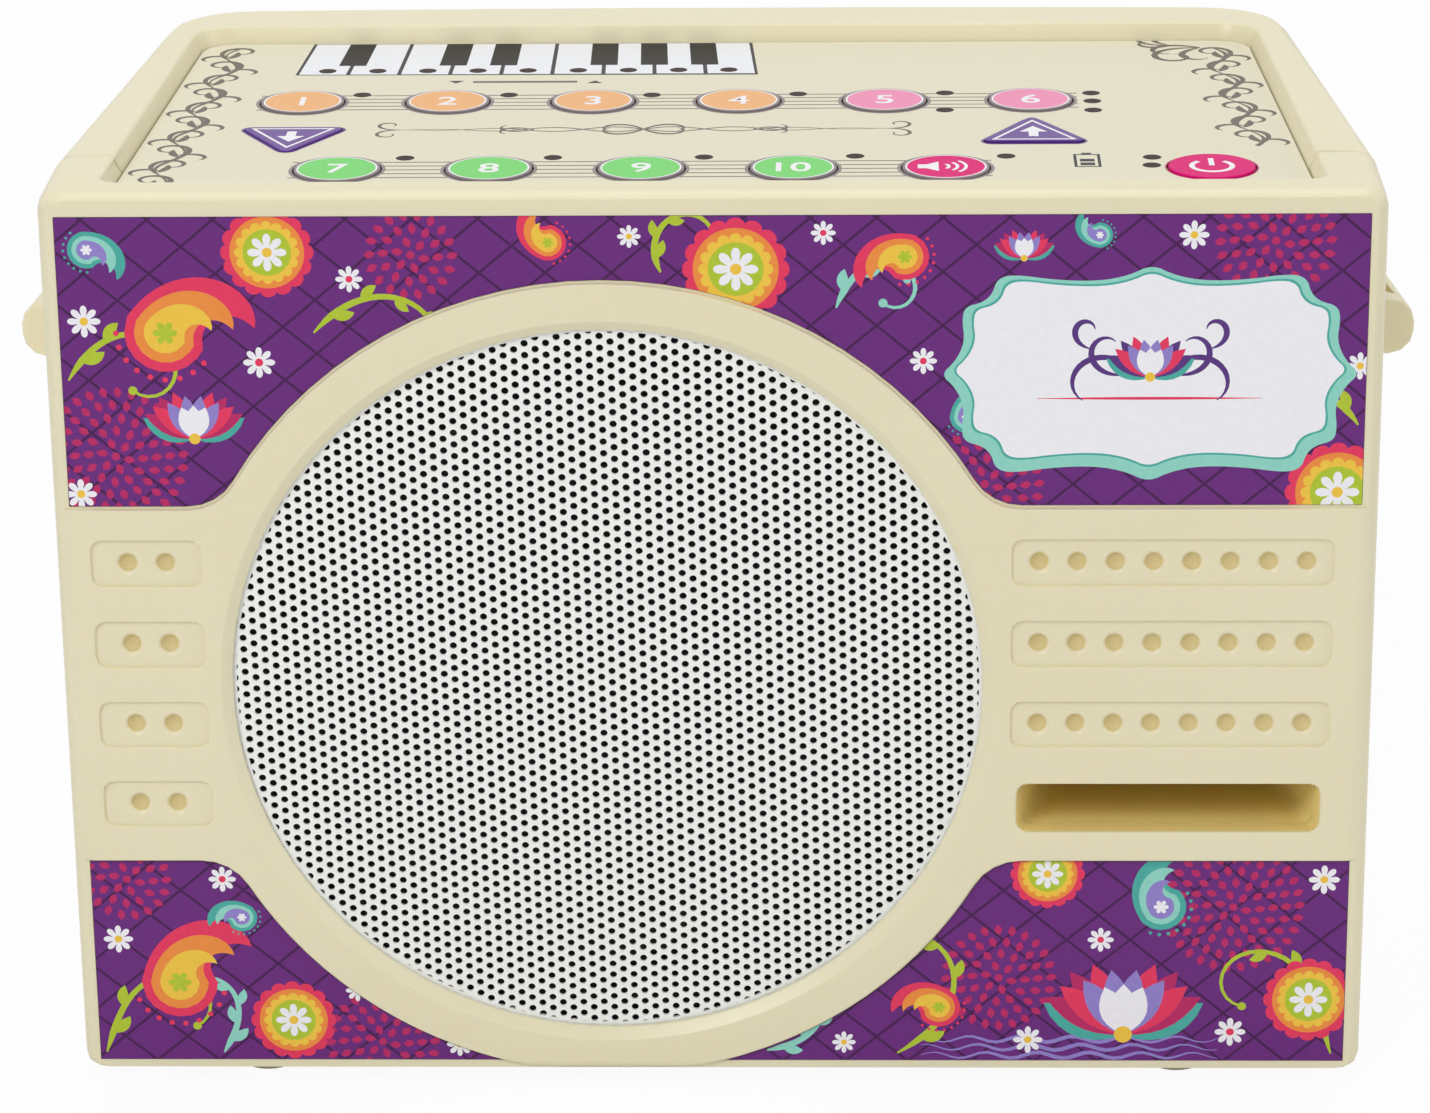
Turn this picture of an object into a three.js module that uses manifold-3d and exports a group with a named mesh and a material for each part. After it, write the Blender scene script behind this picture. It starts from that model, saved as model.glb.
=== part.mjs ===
// An electronic shruti box: a moulded case in two halves, with a round loudspeaker behind a perforated
// grille, a sunk keypad in the top, printed panels on the front and a strap loop on each side.
// Millimetres. X runs to the viewer's right, Y to the back and Z up, and the origin lies on the floor
// under the middle of the box. Depths are counted from the front face of the case.

import * as THREE from 'three';
import { mergeVertices } from 'three/addons/utils/BufferGeometryUtils.js';
import Module from 'manifold-3d';

const wasm = await Module();
wasm.setup();

// Driving dimensions of the case
const caseWidth = 216;
const sideTaper = 9;
const caseDepth = 122;
const caseHeight = 154.4;
const footHeight = 3;
const bezelDepth = 23;
const caseWall = 2.4;
const frontCornerRadius = 4.5;
const rearCornerRadius = 15;
const topEdgeRadius = 3.5;
const bottomEdgeRadius = 2;
const backCrown = 1.5;
const leastRadius = 0.4;
const jointLipLength = 3;

// Belt and ring, which stand proud of the printed panels
const ringOffset = -17.9;
const ringTopMargin = 15;
const ringOverhang = 0.6;
const ringBevel = 1.6;
const ringLand = 6.6;
const beltRise = 31.6;
const beltDrop = 30.7;
const beltStep = 1;
const beltFillet = 9;

// Printed panels
const labelSideMargin = 3;
const labelTopMargin = 4;
const labelBottomMargin = 1.7;
const labelBorder = 0.4;
const labelPocket = 0.5;
const labelThickness = 0.4;
const labelGap = 0.1;

// Shallow pockets with dimples in the belt, and the sound port
const pocketHeight = 8;
const pocketRadius = 1.8;
const pocketSink = 0.7;
const pocketPitch = 14.2;
const pocketRise = 22.2;
const leftPocketMargin = 15.1;
const leftPocketWidth = 18;
const rightPocketMargin = 33.3;
const rightPocketWidth = 52.3;
const dimplePitch = 6.21;
const dimpleRadius = 1.35;
const dimpleFloorRadius = 0.6;
const dimpleSink = 1;
const portDrop = 21.1;
const portWidth = 50.3;
const portOpening = 8.5;
const portFlareDepth = 24;
const portThroatWidth = 37;
const portDuctDepth = 46;
const portDuctWall = 1.6;

// Sunk top with its keypad
const frontRim = 7.7;
const sideRim = 9.2;
const backRim = 15.2;
const recessTaper = 4.8;
const recessDepth = 3;
const recessDraft = 1.2;
const recessFrontRadius = 3;
const recessRearRadius = 7;
const recessWall = 2.2;
const sheetThickness = 0.5;
const plateThickness = 2.2;
const ledgeWidth = 3;
const ledgeThickness = 1.6;

// Keys, their switches and the lamps
const keyRadius = 7.1;
const keyPitch = 24.9;
const keyProud = 0.3;
const keyThickness = 0.6;
const keyTravel = 0.4;
const keyStemRadius = 2;
const keyWellDepth = 0.9;
const firstRowDepth = 65.8;
const firstRowInset = 36.5;
const secondRowDepth = 24.4;
const secondRowInset = 46.3;
const powerKeyInset = 26.8;
const downKeyInset = 36.7;
const downKeyDepth = 42.1;
const upKeyInset = 160.8;
const upKeyDepth = 46.9;
const triangleWidth = 18;
const triangleHeight = 15.4;
const triangleRadius = 1.2;
const switchSide = 6;
const switchHeight = 3.2;
const switchGap = 0.5;
const lampRadius = 1.1;
const lampAhead = 9.9;
const lampBehind = 4.7;
const lampBackward = 7;
const stackedLampPitch = 5.4;
const keyboardLampDepth = 86.7;
const keyboardLampInset = 38.8;
const keyboardLampPitch = 8.78;
const batteryLampInset = 36.4;
const batteryLampDepth = 30.5;
const batteryLampPitch = 4.7;
const keypadBoardThickness = 1.6;
const keypadBoardMargin = 5.4;
const boardPostRadius = 2.6;
const boardStudRadius = 1.4;
const boardHeadRadius = 2.5;
const boardHeadThickness = 1;

// Loudspeaker, front to back
const grilleThickness = 0.8;
const grilleLap = 1.8;
const gasketThickness = 1;
const gasketWidth = 4.5;
const flangeLap = 4.2;
const flangeThickness = 1.2;
const flangeBorder = 4;
const surroundThickness = 0.5;
const surroundFoot = 5;
const surroundRollRadius = 3.2;
const earRadius = 5;
const earReach = 3.5;
const basketWall = 1.2;
const basketDepth = 33;
const basketBaseRadius = 34;
const basketHoleRadius = 15;
const basketWindowWidth = 34;
const spiderLedgeRadius = 31;
const spiderLedgeDepth = 24;
const spiderThickness = 0.5;
const spiderWave = 1.2;
const coneThickness = 0.7;
const coneDepth = 21;
const dustCapRadius = 18;
const dustCapRise = 5;
const coilRadius = 13;
const coilWall = 0.6;
const coilDepth = 19;
const coilClearance = 0.4;
const topPlateRadius = 32;
const topPlateThickness = 4;
const magnetRadius = 35;
const magnetHoleRadius = 17;
const magnetThickness = 12;
const yokeRadius = 31;
const yokeThickness = 5;
const terminalWidth = 12;
const terminalHeight = 7;
const terminalThickness = 1.4;

// Electronics and power
const boardThickness = 1.6;
const boardWidth = 72;
const boardHeight = 62;
const boardSideMargin = 24;
const boardDrop = 14.7;
const boardStandOff = 9;
const boardPostInset = 5;
const chipWidth = 14;
const chipHeight = 10;
const chipThickness = 2.5;
const capacitorRadius = 5;
const capacitorHeight = 14;
const sinkWidth = 26;
const sinkHeight = 22;
const sinkBase = 2;
const sinkFinLength = 10;
const sinkFinThickness = 1.4;
const packLength = 68;
const packDepth = 37;
const packHeight = 19;
const packRadius = 8;
const packSideMargin = 32;
const packBackGap = 6;
const trayHeight = 6.4;
const clampWidth = 14;
const clampThickness = 1.6;
const clampFoot = 9;
const socketPanelWidth = 52;
const socketPanelHeight = 20;
const socketPanelSink = 1.2;
const socketPanelSideMargin = 34;
const socketPanelDrop = 27;
const socketSpacing = 24;
const socketFlangeRadius = 7;
const socketFlangeThickness = 1.6;
const socketBarrelRadius = 4.6;
const socketBodyLength = 14;
const socketBodySide = 11;
const socketBoreDepth = 11;
const dcBoreRadius = 2.9;
const dcPinRadius = 1;
const lineBoreRadius = 1.8;

// Screws, bosses, feet and strap loops
const caseScrewInset = 22;
const caseScrewRise = 13;
const caseScrewDrop = 7.7;
const bossRadius = 4.5;
const bossEndDepth = 40;
const screwRadius = 1.5;
const screwHeadRadius = 3;
const screwHeadThickness = 2;
const screwGrip = 12;
const screwSeat = 3;
const slotWidth = 0.8;
const slotDepth = 0.9;
const speakerScrewLength = 4;
const clampScrewLength = 6;
const footRadius = 5.5;
const footTaper = 0.8;
const footFrontOffset = 77.5;
const footFrontDepth = 11.5;
const footBackOffset = 72;
const footBackInset = 18;
const footStudRadius = 2;
const footStudLength = 2;
const loopDrop = 25.4;
const loopHeight = 9.4;
const loopReach = 7.1;
const loopBackReach = 4.6;
const loopLength = 30;
const loopBar = 2.2;
const loopPost = 5;
const loopEdgeRadius = 4;
const loopPinRadius = 1.6;
const loopHeadRadius = 2.6;
const loopHeadThickness = 1.2;

// Wires inside
const leadRadius = 1.1;
const ribbonWidth = 20;
const ribbonThickness = 0.9;
const ribbonPlugDepthShare = 0.8;

// Clearances and working values
const seatGap = 0.3;
const slideGap = 0.3;
const overrun = 6;
const ringSides = 56;
const coneSides = 28;
const coreSides = 24;
const keySides = 14;
const smallSides = 8;
const lampSides = 6;
const cornerSteps = 3;
const rearCornerSteps = 6;
const edgeSteps = 3;
const filletSteps = 4;
const ringArcSteps = 14;
const quarterTurn = Math.PI / 2;

// Places worked out from the sizes above
const frontY = -caseDepth / 2;
const backY = caseDepth / 2;
const bottomZ = footHeight;
const topZ = bottomZ + caseHeight;
const splitY = frontY + bezelDepth;
const panelY = frontY + beltStep;
const innerFrontY = panelY + caseWall;
const innerBackY = backY - backCrown - caseWall;
const innerBottomZ = bottomZ + caseWall;
const sideAngle = Math.atan2(sideTaper, caseDepth - bezelDepth);
const ringRadius = (caseHeight + ringOverhang - ringTopMargin) / 2;
const ringHeight = bottomZ - ringOverhang + ringRadius;
const grilleOpeningRadius = ringRadius - ringLand - ringBevel;
const labelSide = caseWidth / 2 - labelSideMargin;
const labelTopZ = topZ - labelTopMargin;
const labelBottomZ = bottomZ + labelBottomMargin;
const firstRowStart = firstRowInset - caseWidth / 2;
const secondRowStart = secondRowInset - caseWidth / 2;
const powerKeyX = caseWidth / 2 - powerKeyInset;
const sheetTopZ = topZ - recessDepth;
const plateTopZ = sheetTopZ - sheetThickness - seatGap;
const plateBottomZ = plateTopZ - plateThickness;
const ledgeTopZ = plateBottomZ - seatGap;
const ledgeBottomZ = ledgeTopZ - ledgeThickness;
const keyTopZ = sheetTopZ + keyProud;
const keyBottomZ = keyTopZ - keyThickness;
const stemBottomZ = plateBottomZ - keyTravel;
const switchTopZ = stemBottomZ - switchGap;
const keypadBoardTopZ = switchTopZ - switchHeight;
const keypadBoardBottomZ = keypadBoardTopZ - keypadBoardThickness;
const grilleRadius = grilleOpeningRadius + grilleLap;
const grilleBackY = innerFrontY - seatGap;
const grilleFrontY = grilleBackY - grilleThickness;
const gasketFrontY = innerFrontY + seatGap;
const surroundFrontY = gasketFrontY + gasketThickness + seatGap;
const flangeFrontY = surroundFrontY + surroundThickness + seatGap;
const flangeBackY = flangeFrontY + flangeThickness;
const flangeRadius = grilleOpeningRadius + flangeLap;
const earPitchRadius = flangeRadius + earReach;
const gasketOuterRadius = earPitchRadius - earRadius;
const surroundFootRadius = flangeRadius - flangeBorder;
const surroundOuterRadius = surroundFootRadius - surroundFoot;
const surroundInnerRadius = surroundOuterRadius - 2 * surroundRollRadius;
const basketMouthRadius = surroundOuterRadius + 2 * seatGap;
const coneRadius = surroundInnerRadius - slideGap;
const coneBackY = surroundFrontY + coneDepth;
const basketBackY = flangeFrontY + basketDepth;
const topPlateFrontY = basketBackY + seatGap;
const magnetFrontY = topPlateFrontY + topPlateThickness + seatGap;
const yokeFrontY = magnetFrontY + magnetThickness + seatGap;
const terminalZ = ringHeight + flangeRadius - terminalHeight / 2;
const boardCentre = caseWidth / 2 - boardSideMargin - boardWidth / 2;
const boardBottomZ = keypadBoardBottomZ - boardDrop - boardHeight;
const boardBackY = innerBackY - boardStandOff;
const boardFrontY = boardBackY - boardThickness;
const packBackY = innerBackY - packBackGap;
const packFrontY = packBackY - packDepth;
const packMiddleY = (packFrontY + packBackY) / 2;
const packCentre = packSideMargin + packLength / 2 - caseWidth / 2;
const packBottomZ = innerBottomZ + seatGap;
const packTopZ = packBottomZ + packHeight;
const trayTopZ = innerBottomZ + trayHeight;
const clampScrewY = packFrontY - caseWall - clampFoot / 2;
const clampCatchY = packBackY + clampThickness + 2 * seatGap;
const socketPanelOffset = caseWidth / 2 - socketPanelSideMargin - socketPanelWidth / 2;
const socketPanelZ = boardBottomZ - socketPanelDrop;
const socketPanelY = backY - backCrown - socketPanelSink;
const socketWallY = socketPanelY - caseWall;
const loopBottomZ = topZ - loopDrop - loopHeight;
const loopMiddleZ = loopBottomZ + loopHeight / 2;

// Colours of the real materials
const ivory = 0xe6deb9;
const labelPurple = 0x6e2d7e;
const cream = 0xe8e4cc;
const orange = 0xf5b26b;
const pink = 0xf58ab4;
const green = 0x6ad95e;
const magenta = 0xe8148c;
const violet = 0x5e2d91;
const whiteEnamel = 0xe6e9e4;
const black = 0x1c1c1e;
const zincSteel = 0xb4b8bc;
const copper = 0xb8743a;
const spiderCloth = 0xc9a04a;
const ferrite = 0x3a3a3c;
const castAluminium = 0xa8acb0;
const boardGreen = 0x2f6b3f;
const packBlue = 0x2f63b8;
const ribbonGrey = 0x9a9a9e;
const leadRed = 0xb02a2a;
const leadBlack = 0x24262a;

// Geometry helpers

// A closed geometry as a solid that can be cut and joined
function solidOf(geometry) {
  const bare = geometry.clone();
  bare.deleteAttribute('normal');
  bare.deleteAttribute('uv');
  const merged = mergeVertices(bare);
  const corners = merged.index.array;
  const kept = [];
  for (let i = 0; i < corners.length; i += 3) {
    const [a, b, c] = [corners[i], corners[i + 1], corners[i + 2]];
    if (a !== b && b !== c && c !== a) {
      kept.push(a, b, c);
    }
  }
  const vertProperties = new Float32Array(merged.attributes.position.array);
  return new wasm.Manifold(new wasm.Mesh({ numProp: 3, vertProperties, triVerts: new Uint32Array(kept) }));
}

function geometryOf(solid) {
  const mesh = solid.getMesh();
  const geometry = new THREE.BufferGeometry();
  geometry.setAttribute('position', new THREE.BufferAttribute(new Float32Array(mesh.vertProperties), 3));
  geometry.setIndex(new THREE.BufferAttribute(new Uint32Array(mesh.triVerts), 1));
  geometry.computeVertexNormals();
  return geometry;
}

function joined(first, ...others) {
  return others.reduce((solid, other) => solid.add(other), first);
}

function cut(first, ...others) {
  return others.reduce((solid, other) => solid.subtract(other), first);
}

function point(x, y) {
  return new THREE.Vector2(x, y);
}

function series(count, make) {
  return Array.from({ length: count }, (_, index) => make(index));
}

function arcPoints(centre, radius, from, to, steps) {
  return series(steps + 1, (i) => {
    const angle = from + ((to - from) * i) / steps;
    return point(centre.x + radius * Math.cos(angle), centre.y + radius * Math.sin(angle));
  });
}

function circle(radius, sides) {
  return arcPoints(point(0, 0), radius, 0, 2 * Math.PI, sides).slice(1);
}

// An outline through corners given as { x, y, radius, steps }, anticlockwise, with rounded corners
function roundedOutline(corners) {
  return corners.flatMap((corner, index) => {
    const here = point(corner.x, corner.y);
    if (!corner.steps) {
      return [here];
    }
    const before = corners.at(index - 1);
    const after = corners[(index + 1) % corners.length];
    const back = point(before.x, before.y).sub(here).normalize();
    const on = point(after.x, after.y).sub(here).normalize();
    const halfAngle = Math.acos(back.dot(on)) / 2;
    const reach = corner.radius / Math.sin(halfAngle);
    const centre = back.clone().add(on).normalize().multiplyScalar(reach).add(here);
    const tangent = back.multiplyScalar(corner.radius / Math.tan(halfAngle)).add(here);
    const start = tangent.sub(centre).angle();
    return arcPoints(centre, corner.radius, start, start + Math.PI - 2 * halfAngle, corner.steps);
  });
}

function rectangle(width, height, radius = 0) {
  const steps = radius > 0 ? cornerSteps : 0;
  const signs = [[-1, -1], [1, -1], [1, 1], [-1, 1]];
  return roundedOutline(signs.map(([x, y]) => ({ x: (x * width) / 2, y: (y * height) / 2, radius, steps })));
}

function moved(outline, x, y) {
  return outline.map((spot) => point(spot.x + x, spot.y + y));
}

// A plan outline standing from bottom to top along Z
function standing(outline, bottom, top) {
  const shape = new THREE.Shape(outline);
  const geometry = new THREE.ExtrudeGeometry(shape, { depth: top - bottom, bevelEnabled: false });
  return geometry.translate(0, 0, bottom);
}

// An outline drawn on the front, in X and Z, running back along Y
function runningBack(outline, from, to) {
  const shape = new THREE.Shape(outline);
  const geometry = new THREE.ExtrudeGeometry(shape, { depth: to - from, bevelEnabled: false });
  return geometry.rotateX(quarterTurn).translate(0, to, 0);
}

// An outline drawn on the side, in Y and Z, running along X about a middle
function runningAcross(outline, middle, width) {
  return runningBack(outline, -width / 2, width / 2).rotateZ(quarterTurn).translate(middle, 0, 0);
}

function boxBetween(low, high) {
  const size = high.map((value, axis) => value - low[axis]);
  const middle = high.map((value, axis) => (value + low[axis]) / 2);
  return new THREE.BoxGeometry(...size).translate(...middle);
}

// A closed skin through rings that have the same number of points, the first and last ring capped
function loft(rings, capOutline) {
  const positions = rings.flatMap((ring) => ring.flatMap((spot) => spot.toArray()));
  const count = rings[0].length;
  const faces = [];
  for (let level = 0; level < rings.length - 1; level += 1) {
    for (let i = 0; i < count; i += 1) {
      const a = level * count + i;
      const b = level * count + ((i + 1) % count);
      faces.push(a, b, b + count, a, b + count, a + count);
    }
  }
  const last = (rings.length - 1) * count;
  for (const [a, b, c] of THREE.ShapeUtils.triangulateShape(capOutline, [])) {
    faces.push(a, c, b, last + a, last + b, last + c);
  }
  const geometry = new THREE.BufferGeometry();
  geometry.setAttribute('position', new THREE.Float32BufferAttribute(positions, 3));
  geometry.setIndex(faces);
  return geometry;
}

// A solid through levels given as [Z, inset], where outlineAt gives the outline of an inset
function stacked(levels, outlineAt) {
  const ringAt = ([z, inset]) => outlineAt(inset).map((spot) => new THREE.Vector3(spot.x, spot.y, z));
  const rings = levels.map(ringAt);
  return solidOf(loft(rings, outlineAt(levels[0][1])));
}

// A profile of [radius, along] pairs turned about the Y axis; it closes or starts and ends on the axis
function turned(profile, sides) {
  const points = profile.map(([radius, along]) => point(radius, along));
  if (THREE.ShapeUtils.area(points) < 0) {
    points.reverse();
  }
  return new THREE.LatheGeometry(points, sides);
}

function ringProfile(inner, outer, from, to) {
  return [[inner, from], [outer, from], [outer, to], [inner, to], [inner, from]];
}

function discProfile(radius, from, to) {
  return [[0, from], [radius, from], [radius, to], [0, to]];
}

// A round pillar that runs back along Y
function pillar(radius, from, to, [x, z], sides = smallSides) {
  return solidOf(turned(discProfile(radius, from, to), sides).translate(x, 0, z));
}

// A round rod that stands along Z
function rod(radius, bottom, top, [x, y], sides = smallSides) {
  return solidOf(turned(discProfile(radius, bottom, top), sides).rotateX(quarterTurn).translate(x, y, 0));
}

// The loudspeaker's axis runs from front to back through the middle of the ring
function onSpeakerAxis(geometry) {
  return geometry.translate(ringOffset, 0, ringHeight);
}

// The left side is the right side mirrored in X, with its faces turned round to point out again
function mirrored(geometry) {
  const flat = geometry.index ? geometry.toNonIndexed() : geometry;
  const spots = flat.scale(-1, 1, 1).attributes.position;
  for (let i = 0; i < spots.count; i += 3) {
    const first = new THREE.Vector3().fromBufferAttribute(spots, i);
    const last = new THREE.Vector3().fromBufferAttribute(spots, i + 2);
    spots.setXYZ(i, ...last.toArray());
    spots.setXYZ(i + 2, ...first.toArray());
  }
  return flat;
}

// Case

function rounding(radius, inset, steps) {
  return { radius: Math.max(radius - inset, leastRadius), steps };
}

// How far out along the back, and how much of the crown, at each bend of the back wall
const crownShares = [[0.6, 0.7], [0.25, 1], [-0.25, 1], [-0.6, 0.7]];

// Plan of the case, drawn in by inset on every side
function caseOutline(inset) {
  const half = caseWidth / 2 - inset;
  const halfBack = half - sideTaper;
  const front = frontY + inset;
  const corner = backY - backCrown - inset;
  const halfBehind = half - (sideTaper * seatGap) / (corner - splitY);
  const frontRound = rounding(frontCornerRadius, inset, cornerSteps);
  const rearRound = rounding(rearCornerRadius, inset, rearCornerSteps);
  const crown = crownShares.map(([across, rise]) => ({ x: halfBack * across, y: corner + backCrown * rise }));
  return roundedOutline([
    { x: -half, y: front, ...frontRound },
    { x: half, y: front, ...frontRound },
    { x: half, y: splitY },
    { x: halfBehind, y: splitY + seatGap },
    { x: halfBack, y: corner, ...rearRound },
    ...crown,
    { x: -halfBack, y: corner, ...rearRound },
    { x: -halfBehind, y: splitY + seatGap },
    { x: -half, y: splitY },
  ]);
}

// The case as one closed body, drawn in by inset on every side, with rounded top and bottom edges
function caseBody(inset) {
  const low = Math.max(bottomEdgeRadius - inset, leastRadius);
  const high = Math.max(topEdgeRadius - inset, leastRadius);
  const angles = series(edgeSteps + 1, (i) => (quarterTurn * i) / edgeSteps);
  const arc = angles.map((angle) => [1 - Math.sin(angle), 1 - Math.cos(angle)]);
  const rim = (radius) => arc.map(([rise, draw]) => [radius * rise, radius * draw]);
  const bottoms = rim(low).map(([rise, draw]) => [bottomZ + inset + rise, inset + draw]).reverse();
  const tops = rim(high).map(([drop, draw]) => [topZ - inset - drop, inset + draw]);
  return stacked([...bottoms, ...tops], caseOutline);
}

function recessOutline(inset) {
  const front = frontY + frontRim + inset;
  const back = backY - backRim - inset;
  const frontHalf = caseWidth / 2 - sideRim - inset;
  const backHalf = frontHalf - recessTaper;
  const frontRound = rounding(recessFrontRadius, inset, cornerSteps);
  const rearRound = rounding(recessRearRadius, inset, cornerSteps);
  return roundedOutline([
    { x: -frontHalf, y: front, ...frontRound },
    { x: frontHalf, y: front, ...frontRound },
    { x: backHalf, y: back, ...rearRound },
    { x: -backHalf, y: back, ...rearRound },
  ]);
}

// The sunk place in the top: sloping walls down to the sheet, a straight well for the plate and an
// opening inside the ledge that carries the plate
function recessSpace() {
  const bowl = stacked([[sheetTopZ, recessDraft], [topZ, 0], [topZ + overrun, 0]], recessOutline);
  const well = solidOf(standing(recessOutline(recessDraft), ledgeTopZ, sheetTopZ + seatGap));
  const opening = solidOf(standing(recessOutline(recessDraft + ledgeWidth), ledgeBottomZ - overrun, topZ));
  return joined(bowl, well, opening);
}

function recessFrame() {
  return solidOf(standing(recessOutline(-recessWall), ledgeBottomZ, topZ - caseWall / 2));
}

// From a belt edge round its fillet and along the ring to endAngle; side and up are 1 or -1
function alongRing(side, up, rise, radius, endAngle) {
  const filletRise = rise + beltFillet;
  const reach = radius + beltFillet;
  const run = Math.sqrt(reach * reach - filletRise * filletRise);
  const meet = Math.atan2(filletRise, run);
  const fillet = arcPoints(point(0, 0), beltFillet, quarterTurn, meet, filletSteps)
    .map((spot) => point(ringOffset + side * (run - spot.x), ringHeight + up * (filletRise - spot.y)));
  const ring = arcPoints(point(0, 0), radius, meet, endAngle, ringArcSteps).slice(1)
    .map((spot) => point(ringOffset + side * spot.x, ringHeight + up * spot.y));
  return [...fillet, ...ring];
}

// The area above the belt, out to side, right and left, and up to top, moved away from the belt by gap
function upperOutline(side, top, gap) {
  const edge = ringHeight + beltRise + gap;
  const left = alongRing(-1, 1, beltRise + gap, ringRadius + gap, quarterTurn);
  const right = alongRing(1, 1, beltRise + gap, ringRadius + gap, quarterTurn).reverse().slice(1);
  return [point(-side, edge), ...left, ...right, point(side, edge), point(side, top), point(-side, top)];
}

// The area under the belt on one side of the ring, down to bottom
function lowerOutline(sign, side, bottom, gap) {
  const edge = ringHeight - beltDrop - gap;
  const radius = ringRadius + gap;
  const drop = ringHeight - bottom;
  const meets = drop < radius;
  const curve = alongRing(sign, -1, beltDrop + gap, radius, meets ? Math.asin(drop / radius) : quarterTurn);
  const foot = meets ? [] : [point(curve.at(-1).x, bottom)];
  const outline = [point(sign * side, edge), point(sign * side, bottom), ...foot, ...curve.reverse()];
  return sign < 0 ? outline : outline.reverse();
}

// Outlines of the three printed panels, each grown by grow on every side
const panels = {
  label_upper: (grow) => upperOutline(labelSide + grow, labelTopZ + grow, labelBorder - grow),
  label_lower_left: (grow) => lowerOutline(-1, labelSide + grow, labelBottomZ - grow, labelBorder - grow),
  label_lower_right: (grow) => lowerOutline(1, labelSide + grow, labelBottomZ - grow, labelBorder - grow),
};

// What is taken off the front face, so that the belt and the ring stand proud and the panels lie in it
function panelLevels() {
  const wide = caseWidth / 2 + overrun;
  const levels = [
    upperOutline(wide, topZ + overrun, 0),
    lowerOutline(-1, wide, bottomZ - overrun, 0),
    lowerOutline(1, wide, bottomZ - overrun, 0),
  ].map((outline) => runningBack(outline, frontY - overrun, panelY));
  const pockets = Object.values(panels)
    .map((outline) => runningBack(outline(labelGap), panelY - overrun, panelY + labelPocket));
  return [...levels, ...pockets].map(solidOf);
}

function dimple([x, z], floorY) {
  const profile = [
    [0, floorY - seatGap],
    [dimpleRadius, floorY - seatGap],
    [dimpleRadius, floorY],
    [dimpleFloorRadius, floorY + dimpleSink],
    [0, floorY + dimpleSink],
  ];
  return solidOf(turned(profile, lampSides).translate(x, 0, z));
}

function beltPockets() {
  const groups = [
    { centre: leftPocketMargin - caseWidth / 2, width: leftPocketWidth, rows: 4, dimples: 2 },
    { centre: caseWidth / 2 - rightPocketMargin, width: rightPocketWidth, rows: 3, dimples: 8 },
  ];
  const floorY = frontY + pocketSink;
  return groups.flatMap(({ centre, width, rows, dimples }) => series(rows, (row) => {
    const z = ringHeight + pocketRise - row * pocketPitch;
    const outline = moved(rectangle(width, pocketHeight, pocketRadius), centre, z);
    const pocket = solidOf(runningBack(outline, frontY - overrun, floorY));
    const spots = series(dimples, (i) => [centre + (i - (dimples - 1) / 2) * dimplePitch, z]);
    return joined(pocket, ...spots.map((spot) => dimple(spot, floorY)));
  }));
}

// The sound port: wide at its mouth, drawn in to its throat and then straight
function portSpace(wall, from, to) {
  const stations = [from, frontY + portFlareDepth, to].filter((y) => y >= from && y <= to);
  const rings = stations.map((y) => {
    const share = Math.min((y - frontY) / portFlareDepth, 1);
    const width = portWidth + (portThroatWidth - portWidth) * share + 2 * wall;
    const outline = rectangle(width, portOpening + 2 * wall, pocketRadius + wall);
    return moved(outline, caseWidth / 2 - rightPocketMargin, ringHeight - portDrop)
      .map((spot) => new THREE.Vector3(spot.x, y, spot.y))
      .reverse();
  });
  return solidOf(loft(rings, rings[0].map((spot) => point(spot.x, -spot.z))));
}

const caseScrewSpots = [bottomZ + caseScrewRise, keypadBoardBottomZ - caseScrewDrop]
  .flatMap((z) => [[caseScrewInset - caseWidth / 2, z], [caseWidth / 2 - caseScrewInset, z]]);

const bossEndY = frontY + bossEndDepth;

const earShares = [0.5, 1.5, 2.5, 3.5];

function earSpots([x, z]) {
  return earShares.map((share) => [
    x + earPitchRadius * Math.cos(share * quarterTurn),
    z + earPitchRadius * Math.sin(share * quarterTurn),
  ]);
}

const speakerScrewSpots = earSpots([ringOffset, ringHeight]);

const footSpots = [
  [-footFrontOffset, frontY + footFrontDepth],
  [footFrontOffset, frontY + footFrontDepth],
  [-footBackOffset, backY - footBackInset],
  [footBackOffset, backY - footBackInset],
];

function footHoles() {
  const radius = footStudRadius + seatGap;
  return footSpots.map((spot) => rod(radius, bottomZ - overrun, innerBottomZ + overrun, spot));
}

// Everything in front of a limit
function inFrontOf(limit) {
  const side = caseWidth / 2 + overrun;
  return solidOf(boxBetween([-side, frontY - overrun, bottomZ - overrun], [side, limit, topZ + overrun]));
}

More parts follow.
